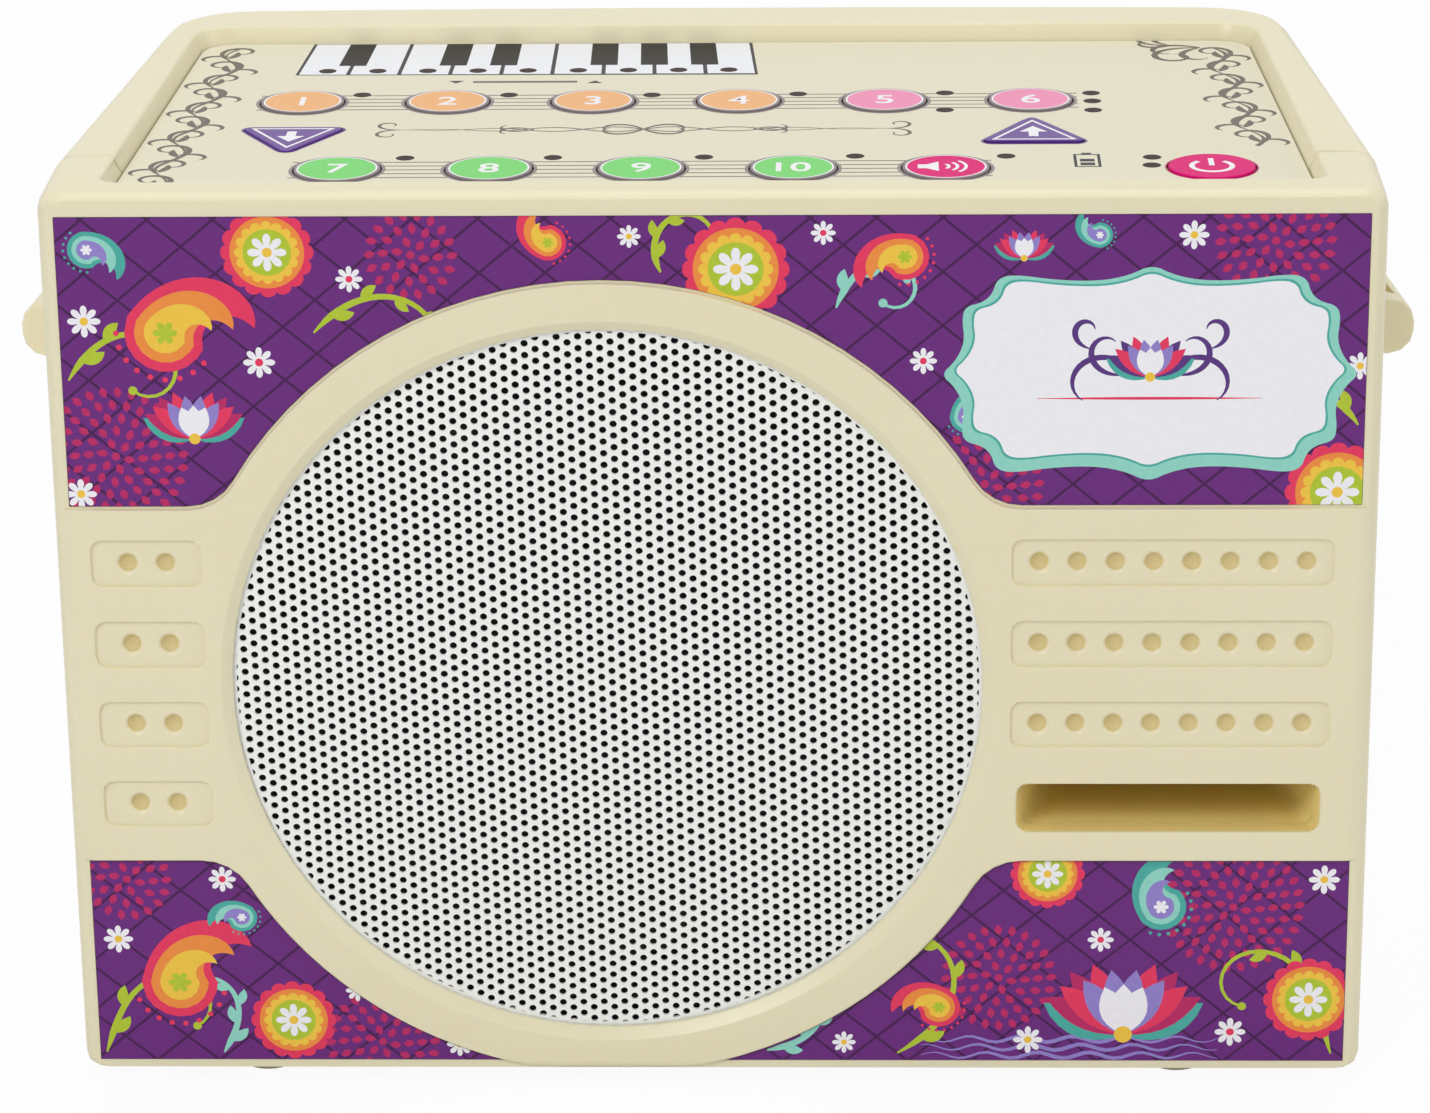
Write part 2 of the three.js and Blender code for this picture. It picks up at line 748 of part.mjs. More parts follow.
function frontShell() {
  const skin = caseBody(0).intersect(inFrontOf(splitY));
  const cavity = cut(caseBody(caseWall), inFrontOf(innerFrontY));
  const lipRoom = cut(caseBody(caseWall / 2), inFrontOf(splitY - jointLipLength - seatGap));
  const frame = recessFrame().intersect(inFrontOf(splitY));
  const rootY = innerFrontY - caseWall / 2;
  const speakerSeatY = flangeFrontY - seatGap;
  const ears = speakerScrewSpots.map((spot) => pillar(earRadius - seatGap, rootY, speakerSeatY, spot));
  const bosses = caseScrewSpots.map((spot) => pillar(bossRadius, rootY, bossEndY, spot));
  const boreRadius = screwRadius + seatGap;
  const earBoreY = flangeBackY - speakerScrewLength;
  const earBores = speakerScrewSpots.map((spot) => pillar(boreRadius, earBoreY, speakerSeatY + overrun, spot));
  const bossBoreY = bossEndY - screwGrip - seatGap;
  const bossBores = caseScrewSpots.map((spot) => pillar(boreRadius, bossBoreY, bossEndY + overrun, spot));
  const mouth = turned([
    [0, frontY - overrun],
    [grilleOpeningRadius + ringBevel, frontY - overrun],
    [grilleOpeningRadius + ringBevel, frontY],
    [grilleOpeningRadius, frontY + ringBevel],
    [grilleOpeningRadius, innerFrontY + overrun],
    [0, innerFrontY + overrun],
  ], ringSides);
  const rebateY = grilleFrontY - seatGap;
  const rebate = turned(discProfile(grilleRadius + seatGap, rebateY, innerFrontY + overrun), ringSides);
  const walls = joined(cut(skin, cavity, lipRoom), ...ears, frame);
  return cut(
    joined(cut(walls, recessSpace()), ...bosses),
    solidOf(onSpeakerAxis(mouth)),
    solidOf(onSpeakerAxis(rebate)),
    portSpace(0, frontY - beltStep, innerFrontY + beltStep),
    ...panelLevels(),
    ...beltPockets(),
    ...bossBores,
    ...earBores,
    ...footHoles(),
  );
}

// Strap loops: a bar on two posts along each side of the case, pinned through its wall

// Lays a shape along the tapered side: X is the way out from the wall and Y the way back from the joint
function alongSide(geometry, side) {
  const placed = geometry.rotateZ(sideAngle).translate(caseWidth / 2, splitY, 0);
  return solidOf(side > 0 ? placed : mirrored(placed));
}

function loopPins(radius, from, to, side) {
  return [loopPost / 2, loopLength - loopPost / 2].map((y) => {
    const pin = turned(discProfile(radius, from, to), smallSides).rotateZ(-quarterTurn);
    return alongSide(pin.translate(0, y + seatGap, loopMiddleZ), side);
  });
}

// The loop's reach from the wall shrinks towards the back
function loopPlan(shrink, near, far) {
  const reachAt = (y) => loopReach + ((loopBackReach - loopReach) * (y - seatGap)) / loopLength - shrink;
  return [[0, near], [reachAt(near), near], [reachAt(far), far], [0, far]].map(([x, y]) => point(x, y));
}

function strapLoop(side) {
  const round = { radius: loopEdgeRadius, steps: cornerSteps };
  const profile = roundedOutline([
    { x: seatGap, y: loopBottomZ },
    { x: loopReach, y: loopBottomZ, ...round },
    { x: loopReach, y: loopBottomZ + loopHeight, ...round },
    { x: seatGap, y: loopBottomZ + loopHeight },
  ]);
  const far = loopLength + seatGap;
  const low = loopBottomZ - overrun;
  const high = loopBottomZ + loopHeight + overrun;
  const body = alongSide(runningBack(profile, seatGap, far), side);
  const taper = alongSide(standing(loopPlan(0, seatGap, far), low, high), side);
  const slot = alongSide(standing(loopPlan(loopBar, loopPost, loopLength - loopPost), low, high), side);
  const wallBack = -caseWall - seatGap;
  const pins = loopPins(loopPinRadius, wallBack - loopHeadThickness / 2, loopPost / 2, side);
  const heads = loopPins(loopHeadRadius, wallBack - loopHeadThickness, wallBack, side);
  return joined(cut(body.intersect(taper), slot), ...pins, ...heads);
}

// The back half of the case

const boardPostSpots = [[-1, -1], [1, -1], [1, 1], [-1, 1]].map(([x, z]) => [
  boardCentre + x * (boardWidth / 2 - boardPostInset),
  boardBottomZ + boardHeight / 2 + z * (boardHeight / 2 - boardPostInset),
]);

// Posts for the main board, each with a stud through the board and a melted head
function boardPosts() {
  const headBackY = boardFrontY - seatGap;
  return boardPostSpots.map((spot) => joined(
    pillar(boardPostRadius, boardBackY + seatGap, backY, spot),
    pillar(boardStudRadius, headBackY - boardHeadThickness / 2, boardBackY + 2 * seatGap, spot),
    pillar(boardHeadRadius, headBackY - boardHeadThickness, headBackY, spot),
  ));
}

// A low tray for the battery pack, a boss for its clamp's screw and a catch for the clamp's back end
function packTray() {
  const wall = caseWall + seatGap;
  const rootZ = innerBottomZ - caseWall / 2;
  const outer = moved(rectangle(packLength + 2 * wall, packDepth + 2 * wall), packCentre, packMiddleY);
  const inner = moved(rectangle(packLength + 2 * seatGap, packDepth + 2 * seatGap), packCentre, packMiddleY);
  const clampSpace = boxBetween(
    [packCentre - clampWidth / 2 - seatGap, packBackY, innerBottomZ],
    [packCentre + clampWidth / 2 + seatGap, clampCatchY, trayTopZ + overrun],
  );
  const walls = cut(
    solidOf(standing(outer, rootZ, trayTopZ)),
    solidOf(standing(inner, innerBottomZ - caseWall, trayTopZ + overrun)),
    solidOf(clampSpace),
  );
  const catchRib = boxBetween(
    [packCentre - clampWidth / 2, clampCatchY, rootZ],
    [packCentre + clampWidth / 2, backY, trayTopZ],
  );
  const boss = rod(bossRadius, rootZ, trayTopZ, [packCentre, clampScrewY]);
  return [walls, solidOf(catchRib), boss];
}

function clampScrewHole() {
  const bottom = trayTopZ + clampThickness - clampScrewLength;
  return rod(screwRadius + seatGap, bottom, trayTopZ + overrun, [packCentre, clampScrewY]);
}

const socketSpots = {
  dc_socket: [socketPanelOffset - socketSpacing / 2, socketPanelZ],
  line_out_socket: [socketPanelOffset + socketSpacing / 2, socketPanelZ],
};

// The sunk panel that the sockets sit in, grown by grow on every side
function socketPanel(grow, from, to) {
  const outline = rectangle(socketPanelWidth + 2 * grow, socketPanelHeight + 2 * grow, pocketRadius + grow);
  return solidOf(runningBack(moved(outline, socketPanelOffset, socketPanelZ), from, to));
}

function socketCuts() {
  const radius = socketBarrelRadius + seatGap;
  const holes = Object.values(socketSpots)
    .map((spot) => pillar(radius, socketWallY - overrun, backY + overrun, spot, keySides));
  return [socketPanel(0, socketPanelY, backY + overrun), ...holes];
}

function rearShell() {
  const behind = (solid) => cut(solid, inFrontOf(splitY + seatGap));
  const skin = cut(behind(caseBody(0)), caseBody(caseWall));
  const lipBand = cut(caseBody(caseWall / 2 + seatGap), caseBody(caseWall), inFrontOf(splitY - jointLipLength));
  const side = caseWidth / 2;
  const lipTopZ = ledgeBottomZ - caseWall;
  const lipReach = boxBetween([-side, frontY, bottomZ], [side, splitY + seatGap, lipTopZ]);
  const lip = lipBand.intersect(solidOf(lipReach));
  const frame = behind(recessFrame());
  const bosses = caseScrewSpots.map((spot) => pillar(bossRadius, bossEndY + seatGap, backY, spot));
  const shank = screwRadius + seatGap;
  const bores = caseScrewSpots.map((spot) => pillar(shank, bossEndY - overrun, backY + overrun, spot));
  const seatY = bossEndY + seatGap + screwSeat;
  const wells = caseScrewSpots.map((spot) => pillar(screwHeadRadius + seatGap, seatY, backY + overrun, spot));
  const socketPad = socketPanel(caseWall, socketWallY, backY);
  const fixtures = [...bosses, ...boardPosts(), ...packTray(), socketPad];
  const rooted = fixtures.map((piece) => piece.intersect(caseBody(caseWall / 2)));
  const pinHoles = [1, -1]
    .flatMap((sign) => loopPins(loopPinRadius + seatGap, -caseWall - overrun, overrun, sign));
  return cut(
    joined(cut(joined(skin, frame), recessSpace()), lip, ...rooted),
    ...bores,
    ...wells,
    ...pinHoles,
    ...footHoles(),
    ...socketCuts(),
    clampScrewHole(),
  );
}

// Main board

const chipShares = [[-0.22, 0.3], [0.2, 0.74], [-0.22, 0.66]];
const capacitorShares = [[0.38, 0.62], [0.05, 0.8]];
const sinkShare = [0.17, 0.26];
const speakerPlugShare = [-0.42, 0.62];
const batteryPlugShare = [-0.42, 0.3];
const ribbonPlugShare = [-0.2, 0.88];

function onBoard([across, up]) {
  return [boardCentre + across * boardWidth, boardBottomZ + up * boardHeight];
}

function mainBoard() {
  const left = boardCentre - boardWidth / 2;
  const rootY = boardFrontY + boardThickness / 2;
  const top = boardBottomZ + boardHeight;
  const board = boxBetween([left, boardFrontY, boardBottomZ], [left + boardWidth, boardBackY, top]);
  const chips = chipShares.map(onBoard).map(([x, z]) => solidOf(boxBetween(
    [x - chipWidth / 2, boardFrontY - chipThickness, z - chipHeight / 2],
    [x + chipWidth / 2, rootY, z + chipHeight / 2],
  )));
  const capacitors = capacitorShares.map(onBoard)
    .map((spot) => pillar(capacitorRadius, boardFrontY - capacitorHeight, rootY, spot, keySides));
  const holes = boardPostSpots
    .map((spot) => pillar(boardStudRadius + seatGap, boardFrontY - overrun, boardBackY + overrun, spot));
  return cut(joined(solidOf(board), ...chips, ...capacitors), ...holes);
}

function heatSink() {
  const [x, z] = onBoard(sinkShare);
  const [left, low, high] = [x - sinkWidth / 2, z - sinkHeight / 2, z + sinkHeight / 2];
  const baseBackY = boardFrontY - seatGap;
  const baseFrontY = baseBackY - sinkBase;
  const base = solidOf(boxBetween([left, baseFrontY, low], [left + sinkWidth, baseBackY, high]));
  const finShares = [0, 0.25, 0.5, 0.75, 1];
  const fins = finShares.map((share) => {
    const finLeft = left + share * (sinkWidth - sinkFinThickness);
    const finFrontY = baseFrontY - sinkFinLength;
    const finRight = finLeft + sinkFinThickness;
    return solidOf(boxBetween([finLeft, finFrontY, low], [finRight, baseBackY - sinkBase / 2, high]));
  });
  return joined(base, ...fins);
}

// Battery pack and its sheet clamp, which hooks behind a rib and is screwed down in front

function batteryPack() {
  const section = rectangle(packDepth, packHeight, packRadius);
  return runningAcross(moved(section, packMiddleY, packBottomZ + packHeight / 2), packCentre, packLength);
}

function batteryClamp() {
  const low = trayTopZ + seatGap;
  const high = packTopZ + seatGap;
  const frontEnd = clampScrewY - clampFoot / 2;
  const front = packFrontY - seatGap;
  const back = packBackY + seatGap;
  const hook = innerBottomZ + seatGap;
  const profile = [
    [frontEnd, low],
    [front, low],
    [front, high],
    [back, high],
    [back, hook],
    [back + clampThickness, hook],
    [back + clampThickness, high + clampThickness],
    [front - clampThickness, high + clampThickness],
    [front - clampThickness, low + clampThickness],
    [frontEnd, low + clampThickness],
  ].map(([y, z]) => point(y, z));
  const strap = solidOf(runningAcross(profile, packCentre, clampWidth));
  return cut(strap, rod(screwRadius + seatGap, low - overrun, low + overrun, [packCentre, clampScrewY]));
}

// A pan-headed screw standing on its point at Z = 0 with a straight slot in its head
function screw(length) {
  const top = length + screwHeadThickness;
  const shank = rod(screwRadius, 0, length + screwHeadThickness / 2, [0, 0]);
  const head = rod(screwHeadRadius, length, top, [0, 0]);
  const side = 2 * screwHeadRadius;
  const slot = boxBetween([-side, -slotWidth / 2, top - slotDepth], [side, slotWidth / 2, top + slotDepth]);
  return geometryOf(cut(joined(shank, head), solidOf(slot)));
}

// A screw driven forward along Y, its head resting at seatY
function drivenForward(length, [x, z], seatY) {
  return screw(length).rotateX(-quarterTurn).translate(x, seatY - length, z);
}

function clampScrew() {
  const seat = trayTopZ + clampThickness + 2 * seatGap;
  return screw(clampScrewLength).translate(packCentre, clampScrewY, seat - clampScrewLength);
}

// Sockets in a sunk panel of the back wall; a pin of no size leaves the bore free
function socket(spot, boreRadius, pinRadius) {
  const [x, z] = spot;
  const wallBack = socketPanelY + seatGap;
  const wallFront = socketWallY - seatGap;
  const faceY = wallBack + socketFlangeThickness;
  const half = socketBodySide / 2;
  const flange = pillar(socketFlangeRadius, wallBack, faceY, spot, keySides);
  const barrel = pillar(socketBarrelRadius, wallFront - seatGap, wallBack + seatGap, spot, keySides);
  const body = boxBetween([x - half, wallFront - socketBodyLength, z - half], [x + half, wallFront, z + half]);
  const bore = pillar(boreRadius, faceY - socketBoreDepth, backY + overrun, spot, keySides);
  const hollow = cut(joined(flange, barrel, solidOf(body)), bore);
  return pinRadius > 0 ? joined(hollow, pillar(pinRadius, wallBack - socketBoreDepth, wallBack, spot)) : hollow;
}

// Keypad

const firstRowColours = [orange, orange, orange, orange, pink, pink];
const secondRowColours = [green, green, green, green, magenta];

function keyLayout() {
  const layout = {};
  const firstRowY = frontY + firstRowDepth;
  const secondRowY = frontY + secondRowDepth;
  firstRowColours.forEach((colour, i) => {
    layout[`key_back_${i + 1}`] = { x: firstRowStart + i * keyPitch, y: firstRowY, colour };
  });
  secondRowColours.forEach((colour, i) => {
    layout[`key_front_${i + 1}`] = { x: secondRowStart + i * keyPitch, y: secondRowY, colour };
  });
  layout.key_power = { x: powerKeyX, y: secondRowY, colour: magenta };
  layout.key_down = { x: downKeyInset - caseWidth / 2, y: frontY + downKeyDepth, colour: violet, turn: -1 };
  layout.key_up = { x: upKeyInset - caseWidth / 2, y: frontY + upKeyDepth, colour: violet, turn: 1 };
  return layout;
}

const keys = keyLayout();
const keyList = Object.values(keys);

function lampLayout() {
  const firstRow = firstRowColours.map((_, i) => [
    firstRowStart + i * keyPitch + lampAhead,
    frontY + firstRowDepth + lampBehind,
  ]);
  const secondRow = secondRowColours.map((_, i) => [
    secondRowStart + i * keyPitch + lampAhead,
    frontY + secondRowDepth + lampBackward,
  ]);
  const [lastX, lastY] = firstRow.at(-1);
  const below = [
    [lastX, lastY - stackedLampPitch],
    [lastX, lastY - 2 * stackedLampPitch],
    [lastX - keyPitch, lastY - 2 * stackedLampPitch],
  ];
  const keyboardLampX = keyboardLampInset - caseWidth / 2;
  const keyboard = series(9, (i) => [keyboardLampX + i * keyboardLampPitch, frontY + keyboardLampDepth]);
  const batteryLampX = caseWidth / 2 - batteryLampInset;
  const battery = series(2, (i) => [batteryLampX, frontY + batteryLampDepth - i * batteryLampPitch]);
  return [...firstRow, ...secondRow, ...below, ...keyboard, ...battery];
}

const lampSpots = lampLayout();

function keyOutline(key, grow) {
  if (!key.turn) {
    return moved(circle(keyRadius + grow, keySides), key.x, key.y);
  }
  const half = triangleWidth / 2 + 2 * grow;
  const base = -triangleHeight / 2 - grow;
  const tip = triangleHeight / 2 + 2 * grow;
  const round = { radius: triangleRadius, steps: cornerSteps };
  const outline = roundedOutline([
    { x: -half, y: base, ...round },
    { x: half, y: base, ...round },
    { x: 0, y: tip, ...round },
  ]);
  return outline.map((spot) => point(key.x + key.turn * spot.x, key.y + key.turn * spot.y));
}

function keySolid(key) {
  const cap = solidOf(standing(keyOutline(key, 0), keyBottomZ, keyTopZ));
  return joined(cap, rod(keyStemRadius, stemBottomZ, keyBottomZ + keyThickness / 2, [key.x, key.y]));
}

function keypadSheet() {
  const sheet = solidOf(standing(recessOutline(recessDraft + seatGap), sheetTopZ - sheetThickness, sheetTopZ));
  const low = sheetTopZ - sheetThickness - overrun;
  const holes = keyList.map((key) => solidOf(standing(keyOutline(key, slideGap), low, sheetTopZ + overrun)));
  return cut(sheet, ...holes);
}

const keypadBoardLeft = firstRowStart - keyRadius - keypadBoardMargin;
const keypadBoardRight = powerKeyX + keyRadius + keypadBoardMargin / 2;
const keypadBoardFrontY = frontY + secondRowDepth - keyRadius;
const keypadBoardBackY = frontY + keyboardLampDepth + keypadBoardMargin;

// Places of the posts that carry the keypad board, between the keys and the lamps
const boardStudShares = [[0.06, 0.09], [0.825, 0.09], [0.9, 0.83], [0.04, 0.83], [0.43, 0.36]];
const boardStudSpots = boardStudShares.map(([x, y]) => [
  keypadBoardLeft + x * (keypadBoardRight - keypadBoardLeft),
  keypadBoardFrontY + y * (keypadBoardBackY - keypadBoardFrontY),
]);

function keypadPlate() {
  const plate = solidOf(standing(recessOutline(recessDraft + seatGap), plateBottomZ, plateTopZ));
  const top = plateTopZ + overrun;
  const low = plateBottomZ - overrun;
  const wellZ = plateTopZ - keyWellDepth;
  const wells = keyList.map((key) => solidOf(standing(keyOutline(key, slideGap), wellZ, top)));
  const stemHoles = keyList.map((key) => rod(keyStemRadius + slideGap, low, top, [key.x, key.y]));
  const lampHoles = lampSpots.map((spot) => rod(lampRadius + slideGap, low, top, spot, lampSides));
  const headTop = keypadBoardBottomZ - seatGap;
  const posts = boardStudSpots.flatMap((spot) => [
    rod(boardPostRadius, keypadBoardTopZ + seatGap, plateBottomZ + plateThickness / 2, spot),
    rod(boardStudRadius, headTop - boardHeadThickness / 2, plateBottomZ, spot),
    rod(boardHeadRadius, headTop - boardHeadThickness, headTop, spot),
  ]);
  return joined(cut(plate, ...wells, ...stemHoles, ...lampHoles), ...posts);
}

function keypadBoard() {
  const rootZ = keypadBoardTopZ - keypadBoardThickness / 2;
  const board = solidOf(boxBetween(
    [keypadBoardLeft, keypadBoardFrontY, keypadBoardBottomZ],
    [keypadBoardRight, keypadBoardBackY, keypadBoardTopZ],
  ));
  const half = switchSide / 2;
  const switches = keyList.map(({ x, y }) => (
    solidOf(boxBetween([x - half, y - half, rootZ], [x + half, y + half, switchTopZ]))
  ));
  const lamps = lampSpots.map((spot) => rod(lampRadius, rootZ, plateTopZ - seatGap, spot, lampSides));
  const [low, high] = [keypadBoardBottomZ - overrun, keypadBoardTopZ + overrun];
  const holes = boardStudSpots.map((spot) => rod(boardStudRadius + seatGap, low, high, spot));
  return cut(joined(board, ...switches, ...lamps), ...holes);
}

// Loudspeaker

function speakerGrille() {
  return onSpeakerAxis(turned(discProfile(grilleRadius, grilleFrontY, grilleBackY), ringSides));
}

function grilleGasket() {
  const inner = gasketOuterRadius - gasketWidth;
  const profile = ringProfile(inner, gasketOuterRadius, gasketFrontY, gasketFrontY + gasketThickness);
  return onSpeakerAxis(turned(profile, ringSides));
}

// A pressed basket: flange, sloping wall with windows, a ledge for the spider and a base
function speakerBasket() {
  const ledgeY = flangeFrontY + spiderLedgeDepth;
  const ledgeInner = spiderLedgeRadius - 2 * basketWall;
  const ledgeOuter = spiderLedgeRadius + basketWall;
  const baseInner = basketBaseRadius - 2 * basketWall;
  const shell = turned([
    [flangeRadius, flangeFrontY],
    [flangeRadius, flangeBackY],
    [basketMouthRadius + basketWall, flangeBackY],
    [ledgeOuter + basketWall, ledgeY],
    [basketBaseRadius, basketBackY],
    [basketHoleRadius, basketBackY],
    [basketHoleRadius, basketBackY - basketWall],
    [baseInner, basketBackY - basketWall],
    [baseInner, ledgeY + basketWall],
    [ledgeInner, ledgeY + basketWall],
    [ledgeInner, ledgeY],
    [ledgeOuter, ledgeY],
    [basketMouthRadius, flangeBackY],
    [basketMouthRadius, flangeFrontY],
    [flangeRadius, flangeFrontY],
  ], coneSides);
  const window = boxBetween(
    [basketBaseRadius / 2, flangeBackY + basketWall, -basketWindowWidth / 2],
    [flangeRadius + overrun, ledgeY - basketWall, basketWindowWidth / 2],
  );
  const windows = series(4, (i) => solidOf(window.clone().rotateY(i * quarterTurn)));
  const spots = earSpots([0, 0]);
  const ears = spots.map((spot) => pillar(earRadius, flangeFrontY, flangeBackY, spot));
  const bores = spots
    .map((spot) => pillar(screwRadius + seatGap, flangeFrontY - overrun, flangeBackY + overrun, spot));
  const inner = turned(discProfile(basketMouthRadius, flangeFrontY - overrun, flangeBackY), coneSides);
  const terminal = boxBetween(
    [-terminalWidth / 2, flangeBackY - seatGap, terminalZ - ringHeight - terminalHeight / 2],
    [terminalWidth / 2, flangeBackY + terminalThickness, terminalZ - ringHeight + terminalHeight / 2],
  );
  const flanged = cut(joined(cut(solidOf(shell), ...windows), ...ears), ...bores, solidOf(inner));
  return onSpeakerAxis(geometryOf(flanged.add(solidOf(terminal))));
}

function speakerSurround() {
  const middle = point(surroundInnerRadius + surroundRollRadius, 0);
  const back = surroundFrontY + surroundThickness;
  const roll = (radius, level) => arcPoints(middle, radius, 0, Math.PI, 2 * cornerSteps - 2)
    .map((spot) => [spot.x, level + spot.y]);
  const profile = [
    [surroundFootRadius, surroundFrontY],
    [surroundFootRadius, back],
    ...roll(surroundRollRadius, back),
    [surroundInnerRadius, surroundFrontY],
    ...roll(surroundRollRadius - surroundThickness, surroundFrontY).reverse(),
    [surroundFootRadius, surroundFrontY],
  ];
  return onSpeakerAxis(turned(profile, coneSides));
}

const coneNeck = coilRadius + coilWall / 2 + seatGap;

function speakerCone() {
  return onSpeakerAxis(turned([
    [coneRadius, surroundFrontY],
    [coneRadius, surroundFrontY + coneThickness],
    [coneRadius - 2 * coneThickness, surroundFrontY + 2 * coneThickness],
    [coneNeck + coneThickness, coneBackY],
    [coneNeck, coneBackY],
    [coneNeck, coneBackY - coneThickness],
    [coneRadius - 4 * coneThickness, surroundFrontY],
    [coneRadius, surroundFrontY],
  ], coneSides));
}

// A shallow dome whose rim rests in front of the cone
function dustCap() {
  const slope = (coneRadius - 4 * coneThickness - coneNeck) / (coneDepth - coneThickness);
  const rimY = coneBackY - coneThickness - (dustCapRadius - coneNeck) / slope - 2 * seatGap;
  const bulge = (dustCapRadius * dustCapRadius + dustCapRise * dustCapRise) / (2 * dustCapRise);
  const half = Math.asin(dustCapRadius / bulge);
  const dome = (radius) => series(cornerSteps + 1, (i) => {
    const angle = (half * i) / cornerSteps;
    return [radius * Math.sin(angle), rimY + bulge - dustCapRise - radius * Math.cos(angle)];
  });
  return onSpeakerAxis(turned([...dome(bulge), ...dome(bulge - coneThickness).reverse()], keySides));
}

function voiceCoil() {
  const inner = coilRadius - coilWall / 2;
  const front = coneBackY - 2 * coneThickness;
  const profile = ringProfile(inner, inner + coilWall, front, coneBackY + coilDepth);
  return onSpeakerAxis(turned(profile, coreSides));
}

// The waved disc that centres the voice coil
function speakerSpider() {
  const inner = coilRadius + coilWall / 2 + slideGap;
  const level = flangeFrontY + spiderLedgeDepth - seatGap - spiderThickness;
  const waveShares = [0, 1, 0, 1, 0];
  const line = (lift) => waveShares.map((share, i) => [
    inner + ((spiderLedgeRadius - inner) * i) / (waveShares.length - 1),
    level + lift - spiderWave * share,
  ]);
  const near = line(0);
  return onSpeakerAxis(turned([...near, ...line(spiderThickness).reverse(), near[0]], coreSides));
}

function topPlate() {
  const inner = coilRadius + coilWall / 2 + coilClearance;
  const profile = ringProfile(inner, topPlateRadius, topPlateFrontY, topPlateFrontY + topPlateThickness);
  return onSpeakerAxis(turned(profile, coreSides));
}

function speakerMagnet() {
  const profile = ringProfile(magnetHoleRadius, magnetRadius, magnetFrontY, magnetFrontY + magnetThickness);
  return onSpeakerAxis(turned(profile, coreSides));
}

function speakerYoke() {
  const pole = coilRadius - coilWall / 2 - slideGap;
  return onSpeakerAxis(turned([
    [0, topPlateFrontY],
    [pole, topPlateFrontY],
    [pole, yokeFrontY],
    [yokeRadius, yokeFrontY],
    [yokeRadius, yokeFrontY + yokeThickness],
    [0, yokeFrontY + yokeThickness],
  ], coreSides));
}

function portDuct() {
  const end = frontY + portDuctDepth;
  return cut(
    portSpace(portDuctWall, innerFrontY + seatGap, end),
    portSpace(0, innerFrontY, end + seatGap),
  );
}

// Leads and ribbon, each held at both ends inside the case

// A lead from start to end through stops given as shares of the way along X, Y and Z
function lead(start, end, stopShares) {
  const first = new THREE.Vector3(...start);
  const way = new THREE.Vector3(...end).sub(first);
  const stops = stopShares.map((share) => new THREE.Vector3(...share).multiply(way).add(first));
  const curve = new THREE.CatmullRomCurve3(stops);
  const section = new THREE.Shape(circle(leadRadius, lampSides));
  const steps = stops.length * 3;
  return new THREE.ExtrudeGeometry(section, { steps, bevelEnabled: false, extrudePath: curve });
}

function speakerLead() {
  const [plugX, plugZ] = onBoard(speakerPlugShare);
  const start = [ringOffset, flangeBackY + terminalThickness + seatGap, terminalZ];
  const stopShares = [
    [0, 0, 0], [0, 0.04, 0], [0.25, 0.18, 0.04], [0.6, 0.5, 0.35], [0.95, 0.86, 0.96], [1, 0.96, 1], [1, 1, 1],
  ];
  return lead(start, [plugX, boardFrontY - seatGap, plugZ], stopShares);
}

function batteryLead() {
  const [plugX, plugZ] = onBoard(batteryPlugShare);
  const start = [packCentre + packLength / 2 + seatGap, packMiddleY, packBottomZ + packHeight / 2];
  const stopShares = [
    [0, 0, 0], [0.15, 0, 0], [0.6, -0.1, 0.12], [0.95, -0.2, 0.5], [1, 0.1, 0.88], [1, 0.75, 1], [1, 1, 1],
  ];
  return lead(start, [plugX, boardFrontY - seatGap, plugZ], stopShares);
}

// A flat ribbon that hangs from the keypad board in one bend and plugs into the main board
function keypadRibbon() {
  const [plugX, plugZ] = onBoard(ribbonPlugShare);
  const plugY = keypadBoardFrontY + ribbonPlugDepthShare * (keypadBoardBackY - keypadBoardFrontY);
  const start = point(plugY, keypadBoardBottomZ - seatGap);
  const end = point(boardFrontY - seatGap, plugZ);
  const bend = point(start.x, end.y);
  const curve = new THREE.CubicBezierCurve(start, bend, bend, end);
  const steps = 4 * cornerSteps;
  const side = (sign) => series(steps + 1, (i) => {
    const spot = curve.getPoint(i / steps);
    const tangent = curve.getTangent(i / steps);
    const half = (sign * ribbonThickness) / 2;
    return point(spot.x - half * tangent.y, spot.y + half * tangent.x);
  });
  return runningAcross([...side(-1), ...side(1).reverse()], plugX, ribbonWidth);
}

// Feet: a tapered pad with a stud pressed up into the case
function foot([x, y]) {
  const profile = [
    [0, 0],
    [footRadius - footTaper, 0],
    [footRadius, footTaper],
    [footRadius, footHeight - seatGap],
    [footStudRadius, footHeight - seatGap],
    [footStudRadius, footHeight + footStudLength],
    [0, footHeight + footStudLength],
  ];
  return turned(profile, keySides).rotateX(quarterTurn).translate(x, y, 0);
}

// Assembly

const box = new THREE.Group();

function place(name, shape, color, [roughness, metalness]) {
  const geometry = shape.isBufferGeometry ? shape : geometryOf(shape);
  const material = new THREE.MeshStandardMaterial({ color, roughness, metalness });
  const mesh = new THREE.Mesh(geometry, material);
  mesh.name = name;
  box.add(mesh);
}

const moulded = [0.45, 0];
const glossy = [0.3, 0];
const dull = [0.85, 0];
const metal = [0.35, 0.9];

place('front_shell', frontShell(), ivory, moulded);
place('rear_shell', rearShell(), ivory, moulded);
place('strap_loop_left', strapLoop(-1), ivory, moulded);
place('strap_loop_right', strapLoop(1), ivory, moulded);
footSpots.forEach((spot, i) => place(`foot_${i + 1}`, foot(spot), ivory, moulded));
const caseSeatY = bossEndY + seatGap + screwSeat + seatGap;
caseScrewSpots.forEach((spot, i) => (
  place(`case_screw_${i + 1}`, drivenForward(screwGrip + screwSeat, spot, caseSeatY), zincSteel, metal)
));

